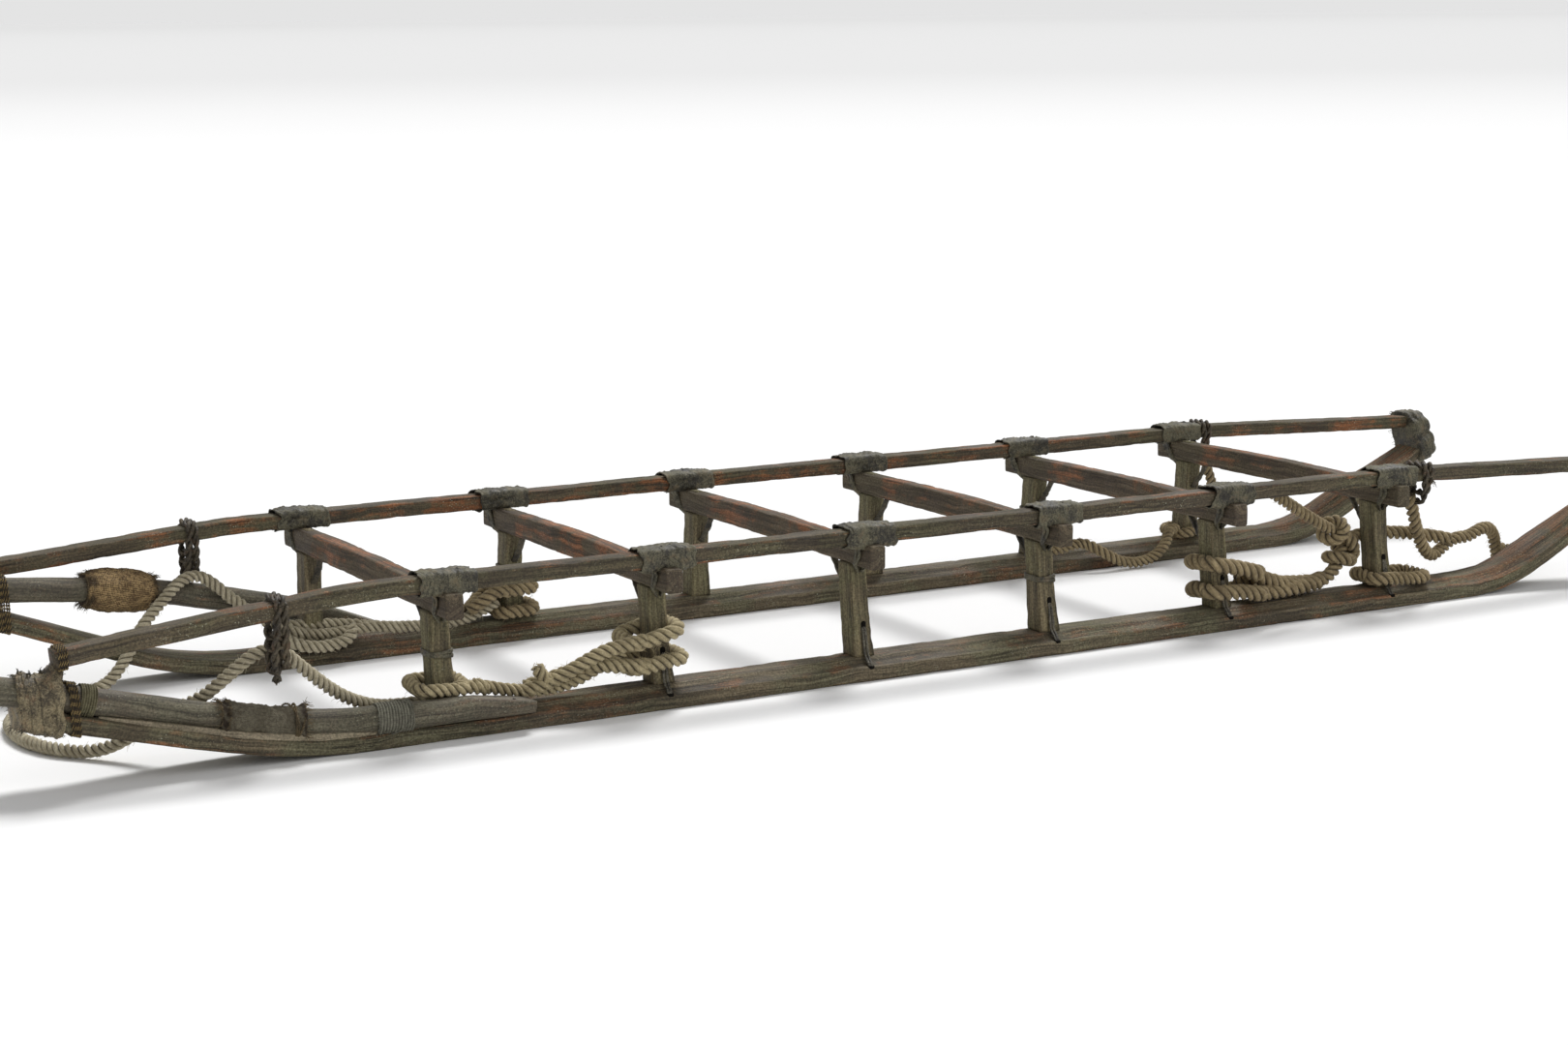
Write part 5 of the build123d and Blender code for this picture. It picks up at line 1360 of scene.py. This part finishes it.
def make_splices():
    """Tucked ends, stubs and knots where the ropes meet: each is a short laid rope, a ring about one or a
    trefoil, with frayed tips."""
    stray, grids = {name: [] for name in SPLICES}, {name: [] for name in SPLICES}
    for k, (name, (_, bits)) in enumerate(SPLICES.items()):
        for j, (radius, route) in enumerate(bits):
            laid, line = rope_bit(route, 3 * k + j, radius)
            grids[name] += laid
            stray[name] += fuzz(line, 700 + 10 * k + j, radius, 300)
    for name, *fray in FRAYS:
        stray[name] += tuft(*fray)
    for seed, (rope, at, radius, lean) in enumerate(HITCHES):
        ring = ring_about(ROPE_LINES[rope], at, radius, seed, lean)
        grids["splice_rear_left"] += strand_grids(ring, 0.0115, closed=True, phase=seed)
    grids["splice_rear_left"] += strand_grids(knot_line(END_KNOT_AT, 0.0085, 0.4), 0.0095, closed=True)
    for name, (finish_name, _) in SPLICES.items():
        show(rope_piece(name, grids[name]), finish_name)
        show(tube_piece(f"{name}_fibres", stray[name]), finish_name)


make_splices()

# ---- wrappings of the bow -----------------------------------------------------------------------


# rows along and columns round a cloth wrapping, and the most a whipping's turns stand up
CLOTH_ROWS, CLOTH_COLS, WHIPPING_RELIEF = 66, 80, 0.0026


def share_and_angle(rows, cols):
    """Share along a wrapping, down the rows, and angle round it, across the columns."""
    return np.linspace(0, 1, rows)[:, None], np.linspace(0, TAU, cols, endpoint=False)[None]


def wrap_round_pole(side, near, far, height, rows, cols):
    """Closed wall wound round the bow: its outer face stands off the pole by a function of the share along
    and the angle, and its inner one lies on the pole."""
    path = bow_stretch(side, near, far, rows)
    _, across, rise = turned_frames(path)
    u, a = share_and_angle(rows, cols)
    ring = np.cos(a)[..., None] * across[:, None] + np.sin(a)[..., None] * rise[:, None]
    outer = path[:, None] + (BOW_RADIUS + height(u, a))[..., None] * ring
    inner = path[:, None] + np.full((rows, cols, 1), BOW_RADIUS * 0.97) * ring
    return np.concatenate([outer, inner[::-1]])


def wrap_ring(side, near, radius, lean, seed):
    """Closed line round the bow at a distance ahead of the first upright, leant along the pole."""
    path = bow_stretch(side, near - 0.01, near + 0.01, 5)
    tangent, across, rise = (v[2] for v in turned_frames(path))
    a = np.linspace(0, TAU, 73)
    ring = np.cos(a)[:, None] * across + np.sin(a)[:, None] * rise
    return path[2] + radius * ring + lean * radius * np.sin(a + seed)[:, None] * tangent


def edge_frays(grid, row_number, picks, seed, length, along_x):
    """Fibres that stand off one row of a wall."""
    rng = np.random.default_rng(seed)
    row = grid[row_number]
    pick = rng.integers(0, len(row), picks)
    out = unit(row[pick] - row.mean(axis=0))
    forward = np.array([along_x, 0, 0]) * rng.uniform(0.4, 1.2, picks)[:, None]
    ways = unit(out * 0.5 + forward + rng.normal(size=(picks, 3)) * 0.25)
    return fibre_grids(row[pick], ways, length * rng.uniform(0.3, 1.2, picks), 0.0005, 0.25, seed)


def dark_ends_and_shaded_inside(seed):
    """How dark a cloth wrapping is: dark in patches towards both its ends, and painted shade over its inner
    wall.
    """
    u, a = share_and_angle(CLOTH_ROWS, CLOTH_COLS)
    ends = bump_at(u, 0.0, 0.07) + bump_at(u, 1.0, 0.10)
    patches = np.clip(1.6 * ends * (0.75 + 0.8 * ripple(u, a * 0.16, seed, 0.25)) - 0.15, 0, 1)
    return np.concatenate([patches, np.ones((CLOTH_ROWS, CLOTH_COLS))])


def canvas_height(u, a):
    """Canvas: a lap that grows round the pole, soft rolls, torn and bunched bands and sharp wrinkles."""
    lap = 0.0022 * np.mod(a / TAU + 0.25 + 0.10 * u, 1.0)
    rolls = 0.0010 * np.sin(u * TAU * 3.1 + 1.5 * np.sin(a)) + 0.0016 * ripple(u, a * 0.16, 801, 0.5)
    torn = 0.0024 * bump_at(u, 0.0, 0.05) + 0.0030 * bump_at(u, 0.90, 0.07) + 0.0012 * bump_at(u, 0.30, 0.03)
    fine = 0.0006 * ripple(u, a * 0.16, 808, 0.07)
    wrinkle = 0.0016 * np.abs(np.sin(u * TAU * 4.5 + 1.2 * ripple(u, a * 0.16, 810, 0.5))) ** 0.6
    return 0.0022 + lap + rolls + fine + wrinkle + torn * (1 + 0.9 * ripple(u * 2, a * 0.5, 802, 0.3))


def burlap_height(u, a):
    """Burlap: a barrel that is fullest at its middle, uneven, with a lap that grows round the pole."""
    barrel = 0.0090 * np.clip(1 - np.abs(2 * u - 1) ** 2.6, 0, 1)
    uneven = 0.0060 + barrel + 0.0011 * ripple(u, a * 0.2, 804, 0.3) + 0.0006 * ripple(u, a * 0.2, 809, 0.07)
    return uneven + 0.0014 * np.mod(a / TAU + 0.4, 1.0)


def make_canvas_wrap():
    """Canvas wound round the pole's left leg, frayed at both ends and tied with thin cord near its rear."""
    grid = wrap_round_pole("left", .223, .347, canvas_height, CLOTH_ROWS, CLOTH_COLS)
    grid[..., 2] = np.maximum(grid[..., 2], BOARD)
    frays = edge_frays(grid, 0, 130, 811, 0.012, -1.0) + edge_frays(grid, 65, 170, 812, 0.014, 1.0)
    frays += edge_frays(grid, 59, 100, 818, 0.009, 1.0)
    frays += tuft(grid[48, 20], (0.2, 0.2, 1), 14, 0.012, 0.4, 813, 0.0009)
    cloth = new_mesh_piece("canvas_wrap_left_cloth", *shell_skin([grid], [dark_ends_and_shaded_inside(831)]))
    show(cloth, "canvas", "canvas_wrap_left")
    cords = []
    for k, (near, lean) in enumerate(((.229, 0.25), (.236, -0.1), (.243, 0.3))):
        ring = wrap_ring("left", near, BOW_RADIUS + 0.0075, lean, k)
        cords += strand_grids(ring, 0.0020, 0.009, 2, 5, 0.0018, closed=True)
    show(tube_piece("canvas_wrap_left_threads", frays + cords), "cord_whipping")


def make_burlap_wrap():
    """Burlap bundle on the pole's right leg, frayed at and near both ends."""
    grid = wrap_round_pole("right", .260, .374, burlap_height, CLOTH_ROWS, CLOTH_COLS)
    frays = []
    for row, picks, seed, length, way in ((0, 150, 814, 0.009, -1.0), (65, 150, 815, 0.009, 1.0),
                                          (4, 100, 819, 0.008, -1.0), (61, 100, 817, 0.008, 1.0)):
        frays += edge_frays(grid, row, picks, seed, length, way)
    cloth = new_mesh_piece("burlap_wrap_right_cloth", *shell_skin([grid], [dark_ends_and_shaded_inside(833)]))
    show(cloth, "burlap", "burlap_wrap_right")
    show(tube_piece("burlap_wrap_right_threads", frays), "cord_whipping")


def make_whipping(node, near, far, turns, rows, seat, finish_name):
    """Twine wound in close turns round the pole's left leg, kept above a seat: the height follows |sin(pi *
    (share along * turns + share round))|, and the gaps between the turns are darkened as painted shade."""
    cols = 40

    def ridge(u, a):
        return np.abs(np.sin(math.pi * (u * turns + a / TAU)))

    def height(u, a):
        return 0.0016 + WHIPPING_RELIEF * ridge(u, a) ** 0.7 + 0.0006 * ripple(u, a * 0.2, 806, 0.4)

    grid = wrap_round_pole("left", near, far, height, rows, cols)
    grid[..., 2] = np.maximum(grid[..., 2], seat)
    # painted shade in the gaps between the turns, and over the inner wall
    gap = np.clip(1 - 2.6 * ridge(*share_and_angle(rows, cols)), 0, 1)
    shade = np.concatenate([gap, np.ones((rows, cols))])
    show(new_mesh_piece(f"{node}_turns", *shell_skin([grid], [shade])), finish_name, node)
    return grid


def make_whippings():
    """The whipping that seizes the pole to the runner, with its loose ends, and the one at the nose."""
    grid = make_whipping("whipping_left", .064, .116, 12, 144, BOARD, "grey_twine")
    frays = edge_frays(grid, 143, 40, 816, 0.008, 1.0)
    tie = wrap_ring("left", .090, BOW_RADIUS + 0.0046, 0.95, 1)
    frays += strand_grids(tie, 0.0013, 0.007, 2, 5, 0.0012, closed=True)
    make_whipping("tip_whipping_left", .524, .545, 6, 72, 0.0, "olive_twine")
    show(tube_piece("whipping_left_threads", frays), "grey_twine")


# points round a tip's loop, rows and columns of a binding, and how far its middle stands out
TIP_LOOP_POINTS, BINDING_ROWS, BINDING_COLS, BINDING_BULGE = 80, 80, 100, 0.0035
# how far ahead of the first upright each nose's binding starts to reach up to the rail's end
RISE_FROM = {"left": 0.566, "right": 0.518}


def rail_tip_loop(side, x, count=TIP_LOOP_POINTS):
    """Rounded loop round a rail's end and the runner's tip below it, as Y away from the middle and Z."""
    top = rail_z(side, x) + RAIL_HEIGHT / 2
    low, half = sole_z(side, x), float(tip_half(side, x))
    inner, outer = RAIL_Y - RAIL_WIDTH / 2, RAIL_Y + RAIL_WIDTH / 2
    edge = BOARD / math.cos(HEEL_ANGLE)
    waist, middle = (inner + RUNNER_Y - half) / 2, (top + low + edge) / 2
    waist_low, waist_high = middle - BOW_RADIUS / 2, middle + BOW_RADIUS / 2
    if x > 0:
        pole = bow_stretch(side, x - BAYS[0], x - BAYS[0] + 1e-4, 2)[0]
        waist = min(waist, abs(pole[1]) - BOW_RADIUS)
        waist_low = min(waist_low, pole[2] - BOW_RADIUS / 2)
        waist_high = max(waist_high, pole[2] + 0.9 * BOW_RADIUS)
    corners = np.array([(outer, top), (outer, top - RAIL_HEIGHT), (RUNNER_Y + half, low + edge / 2),
                        (RUNNER_Y + half, low), (RUNNER_Y - half, low), (RUNNER_Y - half, low + edge),
                        (waist, waist_low), (waist, waist_high), (inner, top)])
    return rounded_loop(corners, count)


def pole_tip_loop(side, x, count=TIP_LOOP_POINTS):
    """Rounded loop round the bow and the runner's nose below it, which rises to the rail's end where the rail
    is above it."""
    low, half = sole_z(side, x), float(tip_half(side, x))
    pole = bow_stretch(side, x - BAYS[0], x - BAYS[0] + 1e-4, 2)[0]
    y, z = abs(pole[1]), pole[2]
    past = np.clip((x - rail_line(side)[-1, 0] + 0.012) / 0.030, 0, 1)
    gap = max(float(rail_z(side, x)) - RAIL_HEIGHT / 2 - z - BOW_RADIUS + 0.003, 0.0)
    rise = gap * (1 - past * past * (3 - 2 * past)) if x > BAYS[0] + RISE_FROM[side] else 0.0
    edge, shoulder = BOARD / math.cos(NOSE_ANGLE[side]), 0.45 * BOW_RADIUS
    corners = np.array([(y + shoulder, z + BOW_RADIUS + 0.001 + rise), (y + BOW_RADIUS,
        z + shoulder + 0.6 * rise), (RUNNER_Y + half, low + edge), (RUNNER_Y + half, low),
                        (RUNNER_Y - half, low), (RUNNER_Y - half, low + edge), (y - BOW_RADIUS,
        z + shoulder + 0.6 * rise), (y - shoulder, z + BOW_RADIUS + 0.001 + rise)])
    return rounded_loop(corners, count)


def rounded_loop(corners, count):
    """Closed loop through corners, evenly spaced, its corners rounded by averaging near neighbours and then
    stood back out by what that took off."""
    loop = even_loop(corners, count)
    soft = sum(np.roll(loop, k, axis=0) for k in range(-2, 3)) / 5
    centre = loop.mean(axis=0)
    return soft + unit(soft - centre) * 0.0012


def make_binding(node, side, joint, near, far, loop_at, seed, material, strips, shut=0.0):
    """Hide wound in overlapping strips round a tip, as one closed lump. Its height is a layer, a saw-tooth
    step for each strip, a bulge along the middle and soft creases. Its far end closes in a dome onto the line
    that shut gives the share of."""
    rows, cols = BINDING_ROWS, BINDING_COLS
    x = joint + np.linspace(near, far, rows)
    loops = np.stack([loop_at(side, v, cols) for v in x])
    y, z = loops[0].T
    area = 0.5 * np.sum(y * np.roll(z, -1) - np.roll(y, -1) * z)
    normal = outward(loops) * (1 if area > 0 else -1)
    u, a = np.linspace(0, 1, rows)[:, None], np.linspace(0, 1, cols, endpoint=False)[None]
    step = np.mod(u * strips + a + 0.10 * ripple(u, a, seed, 0.6), 1.0)
    height = 0.0026 + BINDING_BULGE * np.clip(1 - (2 * u - 1) ** 4, 0, 1) + 0.0022 * step
    height = height + 0.0014 * ripple(u * 0.07, a * 0.4, seed + 1, 0.05)
    height = height + 0.0007 * ripple(u * 0.07, a * 0.4, seed + 2, 0.012)
    height = np.clip(height, 0.0008, None)
    outer = loops + normal * height[..., None]
    near_end = np.sqrt(np.clip(1 - np.clip(1 - u / 0.03, 0, 1) ** 2, 0.0, 1))
    far_end = np.sqrt(np.clip(1 - np.clip((u - 1 + shut) / max(shut, 0.02), 0, 1) ** 2, 0.0, 1))
    centre = loops.mean(axis=1, keepdims=True)
    reach = (0.90 + 0.10 * near_end) * (0.25 + 0.75 * far_end if shut else 0.90 + 0.10 * far_end)
    outer = centre + (outer - centre) * reach[..., None]
    edge_x = 0.0035 * ripple(a, 0.0, seed + 4, 0.35) * (2 * u - 1)
    grid = np.stack([x[:, None] + edge_x, SIDES[side] * outer[..., 0], outer[..., 1]], axis=-1)
    grid[..., 2] = np.maximum(grid[..., 2], 0.0)
    # painted shade at the start of each strip's step, under the edge of the strip that laps over it
    painted_shade = np.clip(1 - step / 0.09, 0, 1) * 0.8
    show(tube_piece(f"{node}_hide", [grid], [painted_shade]), material, node)
    return grid


def cord_turn(points, radius, gold, black):
    """Add one closed turn of two-coloured cord to its two lists."""
    pair = strand_grids(np.concatenate([points, points[:1]]), radius, 5.2 * radius, 2, 6, 0.0022, closed=True)
    gold.append(pair[0])
    black.append(pair[1])


# two-coloured cord: its radius, and the first turn and the step between turns round the nose and the rail
CORD_RADIUS = 0.0021
NOSE_TURNS, NOSE_CORD_AT, NOSE_CORD_STEP = 5, 0.5480, 0.0030
RAIL_TURNS, RAIL_CORD_AT, RAIL_CORD_STEP = 4, 0.5650, 0.0034


def wind_cord(side, shift, gold, black):
    """Two-coloured cord round the pole and the runner's nose, and round the rail's end."""
    sign, joint = SIDES[side], BAYS[0]
    for k in range(NOSE_TURNS):
        x = joint + shift + NOSE_CORD_AT + NOSE_CORD_STEP * k
        loop = pole_tip_loop(side, x)
        sway = 0.0010 * np.sin(np.linspace(0, TAU, len(loop), endpoint=False) + k)
        line = np.stack([np.full(len(loop), x) + sway, sign * loop[:, 0], loop[:, 1]], axis=1)
        cord_turn(line + unit(line - line.mean(axis=0)) * 0.0016, CORD_RADIUS, gold, black)
    section = rounded_box(RAIL_WIDTH + 0.0035, RAIL_HEIGHT + 0.0035, 0.005)[0]
    loop = even_loop(section, TIP_LOOP_POINTS)
    for k in range(RAIL_TURNS):
        x = joint + shift + RAIL_CORD_AT + RAIL_CORD_STEP * k
        line = np.stack([np.full(len(loop), x), sign * RAIL_Y + loop[:, 0], rail_z(side, x) + loop[:,
            1]], axis=1)
        cord_turn(line, CORD_RADIUS, gold, black)


def make_bindings():
    """Hide bound round the four tips, with loose ends, and the cord wound beside the two front ones."""
    frays, gold, black = [], [], []
    for side, shift, seed in (("left", 0.0, 820), ("right", -0.046, 823)):
        grid = make_binding(f"front_binding_{side}", side, BAYS[0], .568 + shift,
                            .629 + shift, pole_tip_loop, seed, "hide_wrap", 3.5)
        rng = np.random.default_rng(seed + 6)
        top = int(np.argmax(grid[40, :, 2]))
        for k in range(4):
            at = grid[rng.integers(5, 75), (top + rng.integers(-9, 9)) % grid.shape[1]]
            frays += tuft(at, (0.3 * (-1) ** k, 0.3, 1), 6, 0.010, 0.4, seed + k, 0.0011, 0.2, 0.003)
        frays += edge_frays(grid, 78, 90, seed + 20, 0.009, 1.0) + edge_frays(grid, 2, 60,
            seed + 21, 0.007, -1.0)
        wind_cord(side, shift, gold, black)
    for side, seed in (("left", 829), ("right", 832)):
        grid = make_binding(f"rear_binding_{side}", side, BAYS[-1], -.570, -.622, rail_tip_loop,
                            seed, "hide_lashing", 2.5, 0.34)
        frays += edge_frays(grid, 2, 60, seed + 20, 0.007, 1.0)
    show(tube_piece("binding_threads", frays), "hide_dark")
    show(tube_piece("tip_cord_left_gold", gold), "cord_gold", "tip_cord_left")
    show(tube_piece("tip_cord_left_black", black), "cord_black")


make_canvas_wrap()
make_burlap_wrap()
make_whippings()
make_bindings()

# ---- thongs that hold the ropes to the rails ----------------------------------------------------
# place along the rail and length below it, the front one first
RAIL_THONGS = {"left": [(BAYS[0] + .258, .083), (BAYS[-1] - .070, .034)],
               "right": [(BAYS[0] + .190, .058), (BAYS[-1] - .058, .034)]}
LOOP_GROW = 0.0040


def slack_loop(x, side, drop, lean):
    """Closed line round a rail that hangs below it: a rounded rectangle whose lower half is drawn down and
    pinched together."""
    section = rounded_box(RAIL_WIDTH + 2 * LOOP_GROW, RAIL_HEIGHT + 2 * LOOP_GROW, 0.008)[0]
    loop = even_loop(section, 110)
    low = np.clip(-loop[:, 1] / (RAIL_HEIGHT / 2 + LOOP_GROW), 0, 1)
    y = loop[:, 0] * (1 - 0.45 * low * min(1.0, drop / 0.04))
    return np.stack([x + lean * (loop[:, 1] - drop * low), SIDES[side] * (RAIL_Y + y),
                     float(rail_z(side, x)) + loop[:, 1] - drop * low ** 1.5], axis=1)


def seizing(x, sign, low, tail):
    """Grids of two leant rings round a hanging thong and the twisted tail below them, and the tail's tip."""
    grids = []
    a = np.linspace(0, TAU, 61)[:, None]
    for k, depth in enumerate((0.36, 0.47)):
        centre = np.array([x, sign * RAIL_Y, low - tail * depth])
        ahead, aside = np.array([1.0, 0, 0.3 * (-1) ** k]), np.array([0, 1.0, 0.2 * (-1) ** k])
        ring = centre + 0.0118 * np.cos(a) * ahead + 0.0118 * np.sin(a) * aside
        grids += strand_grids(ring, 0.0052, 0.036, 2, 9, 0.0028, closed=True)
    tip = np.array([x + 0.002, sign * (RAIL_Y - 0.003), low - tail * 1.12])
    route = [(x, sign * RAIL_Y, low - tail * 0.5), (x + 0.002, sign * RAIL_Y, low - tail * 0.85), tuple(tip)]
    return grids + strand_grids(smooth_route(route, 30), 0.0074, 0.040, 2, 10, 0.0028), tip


def make_rail_thongs():
    """Twisted hide passed round the rail in slack loops that hang down to hold the rope, seized together
    below the rail at the front and ending in a blunt tip."""
    for side, sign in SIDES.items():
        grids, ends = [], []
        for j, (x, tail) in enumerate(RAIL_THONGS[side]):
            front = j == 0
            z = float(rail_z(side, x))
            # each turn's shift along the rail, drop and lean
            turns = [(-0.006, tail * 0.5, -0.12), (0.006, tail, 0.10)]
            if front:
                turns = [(-0.0048, tail * 0.80, 0.05), (0.0048, tail * 0.86, -0.05)]
            for shift, drop, lean in turns:
                line = slack_loop(x + shift, side, drop, lean)
                closed = np.concatenate([line, line[:1]])
                grids += strand_grids(closed, 0.0064, 0.036, 2, 10, 0.0028, closed=True)
            if front:
                seized, tip = seizing(x, sign, z - RAIL_HEIGHT / 2, tail)
                grids += seized
                ends += tuft(tip, (0.1, 0, -1), 7, 0.006, 0.4, 860 + j, 0.0011, 0.1, 0.004)
            else:
                spot = (x - 0.004, sign * (RAIL_Y + RAIL_WIDTH / 2 + 0.006), z - 0.006)
                ends += tuft(spot, (-0.6, 0.2 * sign, -0.8), 9, 0.014, 0.4, 861 + j, 0.0011, 0.3, 0.003)
        show(tube_piece(f"rail_thongs_{side}_twist", grids), "hide_brown", f"rail_thongs_{side}")
        show(tube_piece(f"rail_thongs_{side}_ends", ends), "hide_brown")


make_rail_thongs()
